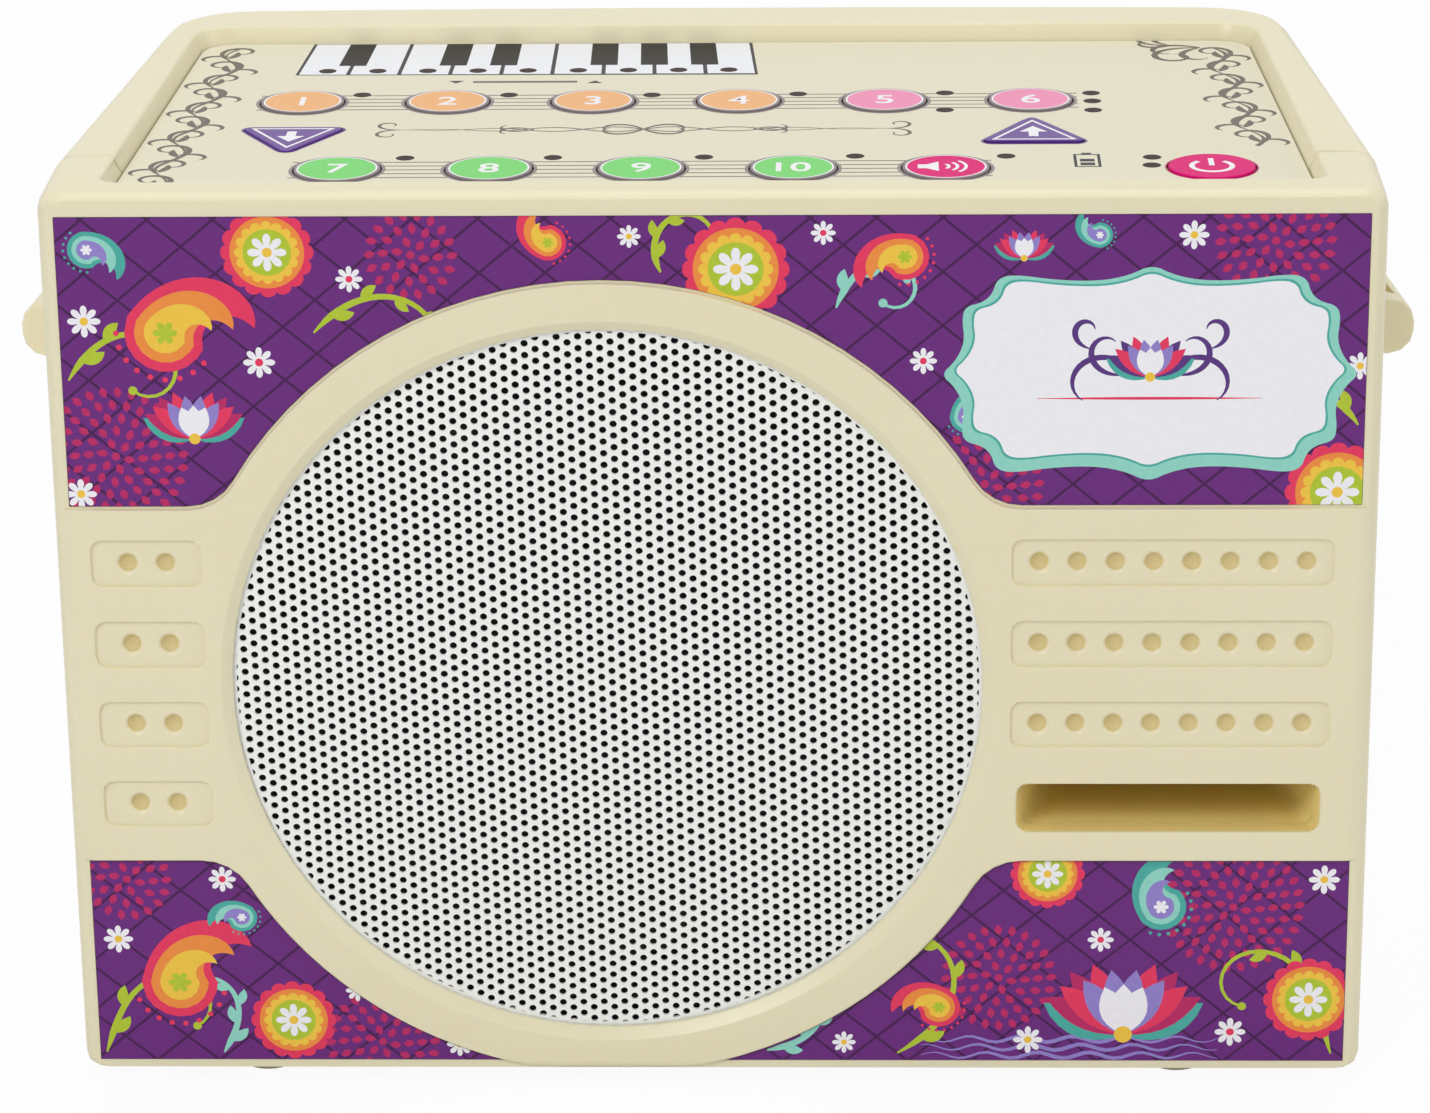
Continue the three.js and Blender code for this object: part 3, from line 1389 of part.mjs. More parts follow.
const labelBackY = panelY + labelPocket - labelGap;
for (const [name, outline] of Object.entries(panels)) {
  place(name, runningBack(outline(0), labelBackY - labelThickness, labelBackY), labelPurple, glossy);
}

place('keypad_plate', keypadPlate(), ivory, moulded);
place('keypad_sheet', keypadSheet(), cream, moulded);
for (const [name, key] of Object.entries(keys)) {
  place(name, keySolid(key), key.colour, moulded);
}
place('keypad_board', keypadBoard(), boardGreen, moulded);
place('keypad_ribbon', keypadRibbon(), ribbonGrey, dull);

place('speaker_grille', speakerGrille(), whiteEnamel, moulded);
place('grille_gasket', grilleGasket(), black, dull);
place('speaker_basket', speakerBasket(), zincSteel, metal);
place('speaker_surround', speakerSurround(), black, dull);
place('speaker_cone', speakerCone(), black, dull);
place('dust_cap', dustCap(), black, dull);
place('voice_coil', voiceCoil(), copper, metal);
place('speaker_spider', speakerSpider(), spiderCloth, dull);
place('speaker_top_plate', topPlate(), zincSteel, metal);
place('speaker_magnet', speakerMagnet(), ferrite, dull);
place('speaker_yoke', speakerYoke(), zincSteel, metal);
speakerScrewSpots.forEach((spot, i) => {
  const driven = drivenForward(speakerScrewLength, spot, flangeBackY + seatGap);
  place(`speaker_screw_${i + 1}`, driven, zincSteel, metal);
});
place('speaker_lead', speakerLead(), leadRed, dull);
place('port_duct', portDuct(), ivory, moulded);

place('main_board', mainBoard(), boardGreen, moulded);
place('heat_sink', heatSink(), castAluminium, metal);
place('battery_pack', batteryPack(), packBlue, glossy);
place('battery_clamp', batteryClamp(), zincSteel, metal);
place('clamp_screw', clampScrew(), zincSteel, metal);
place('battery_lead', batteryLead(), leadBlack, dull);
place('dc_socket', socket(socketSpots.dc_socket, dcBoreRadius, dcPinRadius), black, glossy);
place('line_out_socket', socket(socketSpots.line_out_socket, lineBoreRadius, 0), black, glossy);

export default box;
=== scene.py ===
import math

import bmesh
import bpy
import numpy as np
from mathutils import Matrix, Vector
from mathutils.geometry import delaunay_2d_cdt


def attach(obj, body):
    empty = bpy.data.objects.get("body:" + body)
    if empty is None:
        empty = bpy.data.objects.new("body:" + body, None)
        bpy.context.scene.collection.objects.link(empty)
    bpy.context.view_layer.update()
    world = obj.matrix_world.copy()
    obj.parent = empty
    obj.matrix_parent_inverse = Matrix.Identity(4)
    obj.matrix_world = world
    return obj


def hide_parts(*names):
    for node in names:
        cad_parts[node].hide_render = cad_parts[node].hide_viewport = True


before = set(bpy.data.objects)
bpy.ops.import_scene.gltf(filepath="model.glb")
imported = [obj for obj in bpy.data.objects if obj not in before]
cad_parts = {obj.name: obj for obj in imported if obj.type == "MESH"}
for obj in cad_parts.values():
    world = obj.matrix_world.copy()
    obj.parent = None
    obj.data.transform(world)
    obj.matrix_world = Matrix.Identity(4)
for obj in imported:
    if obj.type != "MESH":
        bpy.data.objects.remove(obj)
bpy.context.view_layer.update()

MM = 0.001

# Studio
# A white board under soft lamps, as a product is photographed. The camera stands where the
# photograph was taken from, a little above the box and to its right.


def add_node(owner, kind, inputs=None, **settings):
    """Adds a shader node of a kind with its settings, and sets or links its inputs."""
    node = owner.node_tree.nodes.new(f"ShaderNode{kind}")
    for setting, value in settings.items():
        setattr(node, setting, value)
    for socket, value in (inputs or {}).items():
        if isinstance(value, bpy.types.NodeSocket):
            owner.node_tree.links.new(value, node.inputs[socket])
        else:
            node.inputs[socket].default_value = value
    return node


def linear(code):
    """An sRGB hex colour as linear red, green, blue and alpha."""
    shares = [int(code[i:i + 2], 16) / 255 for i in (1, 3, 5)]
    return [s / 12.92 if s <= 0.04045 else ((s + 0.055) / 1.055) ** 2.4 for s in shares] + [1]


def new_material(name):
    material = bpy.data.materials.new(name)
    material.use_nodes = True
    material.node_tree.nodes.clear()
    return material


def select_only(*pieces):
    """Selects these pieces and no others, the first of them active."""
    bpy.ops.object.select_all(action="DESELECT")
    for piece in pieces:
        piece.select_set(True)
    if pieces:
        bpy.context.view_layer.objects.active = pieces[0]


select_only()
sight = Matrix((
    (0.999620, 0.001227, 0.027544),
    (0.025388, 0.348682, -0.936897),
    (-0.010753, 0.937240, 0.348519),
))
stand = Vector((23.26, -845.67, 387.80)) * MM
bpy.ops.object.camera_add(location=stand, rotation=sight.to_euler())
camera = bpy.context.object
camera.data.lens = 129.45
camera.data.sensor_width = 36
camera.data.clip_start = 0.02
bpy.context.scene.camera = camera
bpy.context.scene.view_settings.view_transform = "Standard"

WORLD_LIGHT = 0.42
BOARD_GLOW = 0.94
LAMP_TARGET = Vector((0, 0, 0.08))

world = bpy.data.worlds.new("studio_air")
bpy.context.scene.world = world
world.use_nodes = True
world.node_tree.nodes.clear()
path = add_node(world, "LightPath")
seen = path.outputs["Is Camera Ray"]
for ray in ("Is Glossy Ray", "Is Transmission Ray"):
    seen = add_node(world, "Math", {0: seen, 1: path.outputs[ray]}, operation="MAXIMUM").outputs[0]
dim_air = add_node(world, "Background", {"Color": linear("#FFFFFF"), "Strength": WORLD_LIGHT})
white_air = add_node(world, "Background", {"Color": linear("#FFFFFF"), "Strength": 1.0})
air = add_node(world, "MixShader", {0: seen, 1: dim_air.outputs[0], 2: white_air.outputs[0]})
add_node(world, "OutputWorld", {"Surface": air.outputs[0]})

# White lacquered board: nearly white to the eye, and it keeps a faint shadow of the box
board_white = new_material("white_lacquered_board")
lacquer = add_node(board_white, "BsdfPrincipled", {"Base Color": linear("#F6F6F6"), "Roughness": 0.9})
glow = add_node(board_white, "Emission", {"Color": linear("#FFFFFF"), "Strength": 1.0})
seen = add_node(board_white, "LightPath").outputs["Is Camera Ray"]
share = add_node(board_white, "Math", {0: seen, 1: BOARD_GLOW}, operation="MULTIPLY")
board = add_node(board_white, "MixShader", {0: share.outputs[0], 1: lacquer.outputs[0], 2: glow.outputs[0]})
add_node(board_white, "OutputMaterial", {"Surface": board.outputs[0]})

bpy.ops.mesh.primitive_plane_add(size=12, location=(0, 0, -0.05 * MM))
floor = bpy.context.object
floor.name = "studio_floor"
floor.data.materials.append(board_white)

lamps = {
    "key_lamp": {"place": (-0.9, -1.5, 1.5), "side": 0.8, "power": 17.0},
    "fill_lamp": {"place": (1.9, -0.55, 0.8), "side": 1.2, "power": 7.5},
    "top_lamp": {"place": (0.1, 0.5, 1.9), "side": 1.2, "power": 9.5},
}
for name, lamp in lamps.items():
    aim = (LAMP_TARGET - Vector(lamp["place"])).to_track_quat("-Z", "Y").to_euler()
    bpy.ops.object.light_add(type="AREA", location=lamp["place"], rotation=aim)
    bpy.context.object.name = name
    bpy.context.object.data.shape = "SQUARE"
    bpy.context.object.data.size = lamp["side"]
    bpy.context.object.data.energy = lamp["power"]

# Front shell
# The front half of the case, injection moulded in ivory ABS with the belt and the ring standing proud
# of the printed panels, rows of dimples in shallow pockets and the mouth of the sound port.

CASE_FRONT_Y = -61.0
SEAM_Y = -38.0
EDGE_ROUND = 0.45
SHARP_ANGLE = math.radians(38)
MERGE_DISTANCE = 0.001 * MM
# Past these an edge is on the rim of the top, of a side or of the bottom
TOP_RIM_Z = 157.0
SIDE_RIM_X = 107.4
BOTTOM_RIM_Z = 3.2

RING_CENTRE = (-17.9, 72.4)
MOUTH_RADIUS = 61.85
MOUTH_BEVEL = 1.6
# Radius beyond the mouth's own, and depth behind the front of the case
MOUTH_PROFILE = [
    (MOUTH_BEVEL + 0.35, -2), (MOUTH_BEVEL + 0.35, -0.01), (MOUTH_BEVEL + 0.1, 0.1),
    (0.15, MOUTH_BEVEL - 0.2), (0, MOUTH_BEVEL), (0, MOUTH_BEVEL + 1.2),
]

POCKET_FLOOR_Y = -60.3
POCKET_TOP_Z = 94.6
POCKET_PITCH = 14.2
# Middle, dimples in a row and rows of the two blocks of pockets
POCKET_BLOCKS = ((-92.9, 2, 4), (74.7, 8, 3))
DIMPLE_PITCH = 6.21
# Radius, and depth behind the floor of the pocket
DIMPLE_PROFILE = [
    (2.15, -2.2), (2.15, -0.01), (1.98, 0.03), (1.8, 0.12), (1.64, 0.28), (1.5, 0.5), (1.3, 0.78),
    (1.05, 0.97), (0.7, 1.1), (0.3, 1.16),
]
# Radius, and depths behind the pocket floor, of the dimple faces that take the painted shade
DIMPLE_PAINTED_SHADE_RADIUS = 1.42
DIMPLE_PAINTED_SHADE_DEPTHS = (0.4, 1.25)
PORT_CENTRE = (74.7, 51.3)
PORT_HALF_SIZE = (27, 7)
# Depths along Y of the port's inner faces that take the painted warm light
PORT_PAINTED_LIGHT_Y = (-60.5, -57.7)


def grained(material, colour, grit, depth, roughness, **sockets):
    """Ends a material: its gloss and its relief, of so many mm, follow a fine grain."""
    rough = add_node(material, "MapRange",
                     {"Value": grit.outputs["Fac"], "To Min": roughness[0], "To Max": roughness[1]})
    relief = add_node(material, "Bump",
                      {"Height": grit.outputs["Fac"], "Distance": depth * MM, "Strength": 0.6})
    shader = add_node(material, "BsdfPrincipled", {
        "Base Color": colour.outputs[2],
        "Roughness": rough.outputs[0],
        "Normal": relief.outputs[0],
        **sockets,
    })
    add_node(material, "OutputMaterial", {"Surface": shader.outputs[0]})
    return material


def finish(name, pale, deep, mottle, grain, depth, roughness, stretch=(1, 1, 1), **sockets):
    """A surface that varies between two colours over mottle mm, with a fine grain of so many mm."""
    material = new_material(name)
    place = add_node(material, "TexCoord")
    laid = add_node(material, "Mapping", {"Vector": place.outputs["Object"], "Scale": stretch}).outputs[0]
    cloud = add_node(material, "TexNoise", {"Vector": laid, "Scale": 1 / (mottle * MM), "Detail": 3.0})
    grit = add_node(material, "TexNoise", {"Vector": laid, "Scale": 1 / (grain * MM), "Detail": 2.0})
    colour = add_node(material, "Mix", {0: cloud.outputs["Fac"], 6: linear(deep), 7: linear(pale)},
                      data_type="RGBA")
    return grained(material, colour, grit, depth, roughness, **sockets)


def new_piece(name, mesh):
    """A piece of the scene that shows a mesh."""
    piece = bpy.data.objects.new(name, mesh)
    bpy.context.scene.collection.objects.link(piece)
    return piece


def edit(piece, action="SELECT"):
    """Opens a piece in edit mode with all of it selected, or none of it for DESELECT."""
    select_only(piece)
    bpy.ops.object.mode_set(mode="EDIT")
    bpy.ops.mesh.select_all(action=action)


def leave_edit():
    bpy.ops.object.mode_set(mode="OBJECT")


def face_outwards():
    """Turns every face of the piece in edit mode outwards, and leaves edit mode."""
    bpy.ops.mesh.select_all(action="SELECT")
    bpy.ops.mesh.normals_make_consistent(inside=False)
    leave_edit()


def delete_parts(piece, kind, unwanted):
    """Deletes the unwanted corners (VERT) or faces (FACE) of a piece, which stays in edit mode."""
    edit(piece, "DESELECT")
    bpy.ops.mesh.select_mode(type=kind)
    leave_edit()
    for part in piece.data.polygons if kind == "FACE" else piece.data.vertices:
        part.select = unwanted(part)
    bpy.ops.object.mode_set(mode="EDIT")
    bpy.ops.mesh.delete(type=kind)


def merged_copy(node):
    """A new moulding that starts from a CAD node's shape, its doubled corners merged."""
    piece = new_piece(f"{node}_moulding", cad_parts[node].data.copy())
    piece.data.materials.clear()
    edit(piece)
    bpy.ops.mesh.remove_doubles(threshold=MERGE_DISTANCE)
    bpy.ops.mesh.customdata_custom_splitnormals_clear()
    leave_edit()
    return piece


def apply_modifier(piece, kind, **settings):
    select_only(piece)
    modifier = piece.modifiers.new(kind.lower(), kind)
    for setting, value in settings.items():
        setattr(modifier, setting, value)
    bpy.ops.object.modifier_apply(modifier=modifier.name)


def joined(*pieces):
    """The first of the pieces, with the others joined to it."""
    select_only(*pieces)
    if len(pieces) > 1:
        bpy.ops.object.join()
    return pieces[0]


def combine(piece, operation, *tools):
    """Makes one solid of a piece and each tool in turn, by UNION or DIFFERENCE, which uses the tool up."""
    for tool in tools:
        apply_modifier(piece, "BOOLEAN", operation=operation, solver="EXACT", object=tool)
        bpy.data.objects.remove(tool)


def round_edges(piece, shows):
    """Rounds the sharp edges of a moulding that show."""
    edit(piece)
    bpy.ops.mesh.dissolve_limited(angle_limit=math.radians(0.4))
    leave_edit()
    shape = bmesh.new()
    shape.from_mesh(piece.data)
    weight = shape.edges.layers.float.new("bevel_weight_edge")
    for rim in shape.edges:
        middle = (rim.verts[0].co + rim.verts[1].co) / (2 * MM)
        if len(rim.link_faces) == 2 and rim.calc_face_angle() > SHARP_ANGLE and shows(middle):
            rim[weight] = 1.0
    shape.to_mesh(piece.data)
    shape.free()
    apply_modifier(piece, "BEVEL", width=EDGE_ROUND * MM, segments=2, limit_method="WEIGHT",
                   use_clamp_overlap=False)


def refill(piece, level):
    """Fills a moulding's flat face at a level along Y afresh, holes left open, once its rims are done."""
    delete_parts(piece, "FACE", lambda face: (
        abs(face.normal.y) > 0.999 and abs(face.center.y - level * MM) < 0.005 * MM))
    bpy.ops.mesh.select_mode(type="EDGE")
    bpy.ops.mesh.select_all(action="DESELECT")
    bpy.ops.mesh.select_non_manifold(use_wire=False, use_multi_face=False, use_non_contiguous=False,
                                     use_verts=False)
    bpy.ops.mesh.fill()
    face_outwards()


def shade(piece):
    """Shades a moulding smooth between its sharp edges."""
    select_only(piece)
    bpy.ops.object.shade_smooth_by_angle(angle=SHARP_ANGLE)
    apply_modifier(piece, "WEIGHTED_NORMAL", keep_sharp=True)


def fit(piece, body, slot, material, *replaced):
    """Gives a piece its material and its body, and hides the CAD nodes that it stands for. The slot is not
    used.
    """
    if material:
        piece.data.materials.clear()
        piece.data.materials.append(material)
    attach(piece, body)
    if replaced:
        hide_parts(*replaced)


# Ivory ABS, injection moulded in a finely eroded tool: a satin, slightly uneven warm white that light
# enters a little way. The grain is drawn at 0.5 mm, coarser than it is, so that it shows.
translucent = {"Subsurface Weight": 0.15, "Subsurface Radius": (0.9, 0.6, 0.25), "Subsurface Scale": 4 * MM}
ivory_abs = finish("ivory_abs", "#EEE6C6", "#E9E0BC", 55, 0.5, 0.012, (0.32, 0.4), **translucent)
# Painted light: the same ABS in a warmer yellow inside the sound port, for light that bounces to and fro
# there and turns warm
port_painted_light_abs = finish("ivory_abs_with_painted_port_light", "#F7E39A", "#F0D684", 55, 0.5, 0.012, (0.32, 0.4), **translucent)
# Painted shade: the same ABS darker and yellower deep in the dimples, where shade falls in the hollows
dimple_painted_shade_abs = finish("ivory_abs_with_painted_dimple_shade", "#DFCE97", "#D9C58A", 55, 0.5, 0.012, (0.4, 0.5), **translucent)


def turned(name, steps, centre=(0, 0, 0), upright=False, sides=48):
    """A solid of rings, each a radius and a place along Y, or Z if upright, closed at both ends.
    Each ring is scaled about its own centre, because a far one rounds it out of flat and spoils a cut."""
    axis = Vector((0, 0, 1)) if upright else Vector((0, 1, 0))
    radius, level = steps[0]
    select_only()
    bpy.ops.mesh.primitive_circle_add(vertices=sides, radius=radius * MM, fill_type="NGON",
                                      location=(Vector(centre) + axis * level) * MM,
                                      rotation=(0 if upright else math.pi / 2, 0, 0))
    piece = bpy.context.object
    piece.name = name
    edit(piece)
    for next_radius, next_level in steps[1:]:
        bpy.ops.mesh.extrude_region_move(TRANSFORM_OT_translate={"value": axis * ((next_level - level) * MM)})
        scale = next_radius / radius
        bpy.ops.transform.resize(value=[1 if along else scale for along in axis],
                                 center_override=(Vector(centre) + axis * next_level) * MM)
        radius, level = next_radius, next_level
    face_outwards()
    return piece


def settle(piece, angle=35):
    """Puts a finished piece's place into its mesh and shades it smooth up to an angle in degrees."""
    select_only(piece)
    bpy.ops.object.transform_apply(location=True, rotation=True, scale=True)
    bpy.ops.object.shade_smooth_by_angle(angle=math.radians(angle))


def on_outside(spot):
    return abs(spot.x) > SIDE_RIM_X or spot.z < BOTTOM_RIM_Z


dimple_spots = [(middle_x + (i - (count - 1) / 2) * DIMPLE_PITCH, POCKET_TOP_Z - row * POCKET_PITCH)
                for middle_x, count, rows in POCKET_BLOCKS for row in range(rows) for i in range(count)]
dimple_steps = [(radius, POCKET_FLOOR_Y + depth) for radius, depth in DIMPLE_PROFILE]
dimple_master = turned("dimple", dimple_steps, sides=32)
dimple_cutters = []
for x, z in dimple_spots:
    cutter = new_piece("dimple", dimple_master.data.copy())
    cutter.matrix_world = dimple_master.matrix_world
    cutter.location.x, cutter.location.z = x * MM, z * MM
    dimple_cutters.append(cutter)
bpy.data.objects.remove(dimple_master)
mouth_steps = [(MOUTH_RADIUS + beyond, CASE_FRONT_Y + depth) for beyond, depth in MOUTH_PROFILE]
mouth_cutter = turned("mouth", mouth_steps, (RING_CENTRE[0], 0, RING_CENTRE[1]), sides=160)

front_shell = merged_copy("front_shell")
combine(front_shell, "DIFFERENCE", mouth_cutter)
round_edges(front_shell, lambda spot: (
    spot.y < POCKET_FLOOR_Y - 0.05
    and math.hypot(spot.x - RING_CENTRE[0], spot.z - RING_CENTRE[1]) > MOUTH_RADIUS + MOUTH_BEVEL + 1
    or spot.z > TOP_RIM_Z
    or spot.y > SEAM_Y - 0.05 and on_outside(spot)
))
refill(front_shell, CASE_FRONT_Y)
combine(front_shell, "DIFFERENCE", joined(*dimple_cutters))
refill(front_shell, POCKET_FLOOR_Y)
shade(front_shell)
fit(front_shell, "case", "ivory_abs", ivory_abs, "front_shell")
front_shell.data.materials.append(port_painted_light_abs)
front_shell.data.materials.append(dimple_painted_shade_abs)
# Faces inside the sound port take the painted warm light, and faces deep in the dimples take the painted
# shade
for face in front_shell.data.polygons:
    x, y, z = face.center / MM
    beside = min(math.hypot(x - spot_x, z - spot_z) for spot_x, spot_z in dimple_spots)
    in_port = abs(x - PORT_CENTRE[0]) < PORT_HALF_SIZE[0] and abs(z - PORT_CENTRE[1]) < PORT_HALF_SIZE[1]
    if in_port and PORT_PAINTED_LIGHT_Y[0] < y < PORT_PAINTED_LIGHT_Y[1]:
        face.material_index = 1
    elif beside < DIMPLE_PAINTED_SHADE_RADIUS and DIMPLE_PAINTED_SHADE_DEPTHS[0] < y - POCKET_FLOOR_Y < DIMPLE_PAINTED_SHADE_DEPTHS[1]:
        face.material_index = 2

# Rear shell
# The deep back half of the case, moulded in the same ivory ABS. It meets the front shell at a fine joint
# line, and four screws go through deep round wells in its back.

CASE_BACK_Y = 61.0
BACK_RIM_Y = 58.5
WELL_RADIUS = 3.38
WELL_SPOTS = [(-86, 16), (86, 16), (-86, 138), (86, 138)]
WELL_SEAT_Y = -17.65

length = CASE_BACK_Y + 5 - WELL_SEAT_Y
well_cutters = []
for x, z in WELL_SPOTS:
    bpy.ops.mesh.primitive_cylinder_add(vertices=40, radius=WELL_RADIUS * MM, depth=length * MM,
                                        location=Vector((x, WELL_SEAT_Y + length / 2, z)) * MM,
                                        rotation=(math.pi / 2, 0, 0))
    well_cutters.append(bpy.context.object)
rear_shell = merged_copy("rear_shell")
combine(rear_shell, "DIFFERENCE", joined(*well_cutters))
round_edges(rear_shell, lambda spot: (
    spot.z > TOP_RIM_Z or spot.y > BACK_RIM_Y or spot.y < SEAM_Y + 0.4 and on_outside(spot)
))
refill(rear_shell, CASE_BACK_Y)
shade(rear_shell)
fit(rear_shell, "case", "ivory_abs", ivory_abs, "rear_shell")

# Strap loops
# A moulded ivory bar on two posts at each side, pinned through the wall of the case. A carrying strap
# passes behind the bar.

LOOP_INNER_X = 106.0

for node in ("strap_loop_left", "strap_loop_right"):
    loop = merged_copy(node)
    round_edges(loop, lambda spot: abs(spot.x) > LOOP_INNER_X)
    shade(loop)
    fit(loop, "case", "ivory_abs", ivory_abs, node)

# Feet
# Four ivory plastic pads, each with a tapered edge and a stud pressed up into the bottom of the case.

FOOT_SPOTS = {"foot_1": (-77.5, -49.5), "foot_2": (77.5, -49.5), "foot_3": (-72, 43), "foot_4": (72, 43)}
FOOT_STEPS = [(4.7, 0.0), (5.5, 0.8), (5.5, 2.6), (5.4, 2.7), (2.0, 2.7), (2.0, 4.8), (1.8, 5.0)]

foot_master = turned("foot", FOOT_STEPS, upright=True)
settle(foot_master)
for node, spot in FOOT_SPOTS.items():
    pad = new_piece(f"{node}_pad", foot_master.data.copy())
    pad.data.transform(Matrix.Translation(Vector((*spot, 0)) * MM))
    fit(pad, "case", "ivory_abs", ivory_abs, node)
bpy.data.objects.remove(foot_master)

# Case screws
# Four zinc-plated pan-head screws at the bottom of the wells, which pull the two shells together.


def paint(material, *names):
    """Gives CAD nodes that keep their shape a better material."""
    for name in names:
        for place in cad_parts[name].material_slots:
            place.material = material


# Zinc-plated steel, turned and plated: a cool grey gleam, faintly streaked
zinc_steel = finish("zinc_plated_steel", "#C4C8CC", "#A9ADB2", 6, 0.4, 0.004, (0.28, 0.42), Metallic=1.0)
paint(zinc_steel, *(f"case_screw_{i}" for i in range(1, 5)))

# Printed panels
# Three self-adhesive film labels in shallow pockets of the front face: a deep purple ground with a
# diamond lattice, and flowers, paisleys, leaves and scrolls printed over it in flat inks.

LATTICE_WIDE = 10.6
LATTICE_HIGH = 9.0
LATTICE_LINE = 0.42
LABEL_THICKNESS = 0.4
LABEL_FACE_Y = -60.0
FILM_GRAIN = 0.35
FILM_RELIEF = 0.003
FILM_ROUGHNESS = (0.3, 0.4)
FILM_GLOSS = {"Specular IOR Level": 0.25}


def printed_ink(name, pale, deep, roughness=FILM_ROUGHNESS, **sockets):
    """A flat ink under a clear film, with a faint fine grain of the print."""
    return finish(name, pale, deep, 0.9, FILM_GRAIN, FILM_RELIEF, roughness, **{**FILM_GLOSS, **sockets})


# Printed film: flat strong inks under a thin gloss coat that softens the lamps' reflection
inks = {name: printed_ink(f"{name}_ink", pale, deep) for name, pale, deep in (
    ("coral", "#EC3F66", "#E23059"),
    ("rose", "#C22B6B", "#B4245F"),
    ("orange", "#F3974A", "#EC8838"),
    ("yellow", "#F6CE4E", "#EFC03C"),
    ("lime", "#BBCF3C", "#ABC02C"),
    ("mint", "#9ADDCD", "#88CFC0"),
    ("teal", "#4FB3A8", "#46A79C"),
    ("lavender", "#9A8AD2", "#8D7CC8"),
    ("white", "#F7F6FA", "#EFEEF4"),
    ("violet", "#5F3A86", "#55307C"),
)}


def lattice_ink():
    """The purple ground: diamonds drawn in a darker purple by two families of slanting lines."""
    material = new_material("purple_lattice_ink")
    place = add_node(material, "TexCoord").outputs["Object"]
    nearest = []
    for sign in (1, -1):
        slope = (1 / (LATTICE_WIDE * MM), 0, sign / (LATTICE_HIGH * MM))
        across = add_node(material, "VectorMath", {0: place, 1: slope}, operation="DOT_PRODUCT")
        turn = add_node(material, "Math", {0: across.outputs["Value"]}, operation="FRACT")
        centred = add_node(material, "Math", {0: turn.outputs[0], 1: 0.5}, operation="SUBTRACT")
        nearest.append(add_node(material, "Math", {0: centred.outputs[0]}, operation="ABSOLUTE").outputs[0])
    line = add_node(material, "Math", {0: nearest[0], 1: nearest[1]}, operation="MINIMUM")
    edge = LATTICE_LINE / 2 * math.hypot(1 / LATTICE_WIDE, 1 / LATTICE_HIGH)
    mask = add_node(material, "MapRange", {
        "Value": line.outputs[0],
        "From Min": edge * 0.7,
        "From Max": edge * 1.3,
        "To Min": 1.0,
        "To Max": 0.0,
    })
    grit = add_node(material, "TexNoise", {"Vector": place, "Scale": 1 / (FILM_GRAIN * MM), "Detail": 2.0})
    ground = add_node(material, "Mix", {0: grit.outputs["Fac"], 6: linear("#652479"), 7: linear("#702C82")},
                      data_type="RGBA")
    colour = add_node(material, "Mix", {0: mask.outputs[0], 6: ground.outputs[2], 7: linear("#45164F")},
                      data_type="RGBA")
    return grained(material, colour, grit, FILM_RELIEF, FILM_ROUGHNESS, **FILM_GLOSS)


inks["purple"] = lattice_ink()


def face_outline(node, axis, level):
    """The outer outline, in mm, of a CAD node's flat face at a level along Y (1) or Z (2)."""
    shape = bmesh.new()
    shape.from_mesh(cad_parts[node].data)
    bmesh.ops.remove_doubles(shape, verts=shape.verts, dist=MERGE_DISTANCE)
    flat = {face for face in shape.faces if abs(face.normal[axis]) > 0.99
            and abs(face.calc_center_median()[axis] - level * MM) < 0.02 * MM}
    rim = {}
    for face in flat:
        for loop in face.loops:
            if sum(other in flat for other in loop.edge.link_faces) == 1:
                rim[loop.vert.index] = loop.link_loop_next.vert.index
    shape.verts.ensure_lookup_table()
    spots = [(corner.co[0] / MM, corner.co[3 - axis] / MM) for corner in shape.verts]
    shape.free()
    outlines = []
    while rim:
        start, here = rim.popitem()
        ring = [start]
        while here != start:
            ring.append(here)
            here = rim.pop(here)
        outlines.append([spots[i] for i in ring])
    return max(outlines, key=lambda ring: max(ring)[0] - min(ring)[0])


def covered(outline, spots):
    """Which of the spots, the rows of an array, an outline goes round."""
    turns = np.zeros(len(spots), int)
    for (x0, y0), (x1, y1) in zip(outline, outline[1:] + outline[:1]):
        side = (x1 - x0) * (spots[:, 1] - y0) - (y1 - y0) * (spots[:, 0] - x0)
        turns += (y0 <= spots[:, 1]) & (spots[:, 1] < y1) & (side > 0)
        turns -= (y1 <= spots[:, 1]) & (spots[:, 1] < y0) & (side < 0)
    return turns != 0


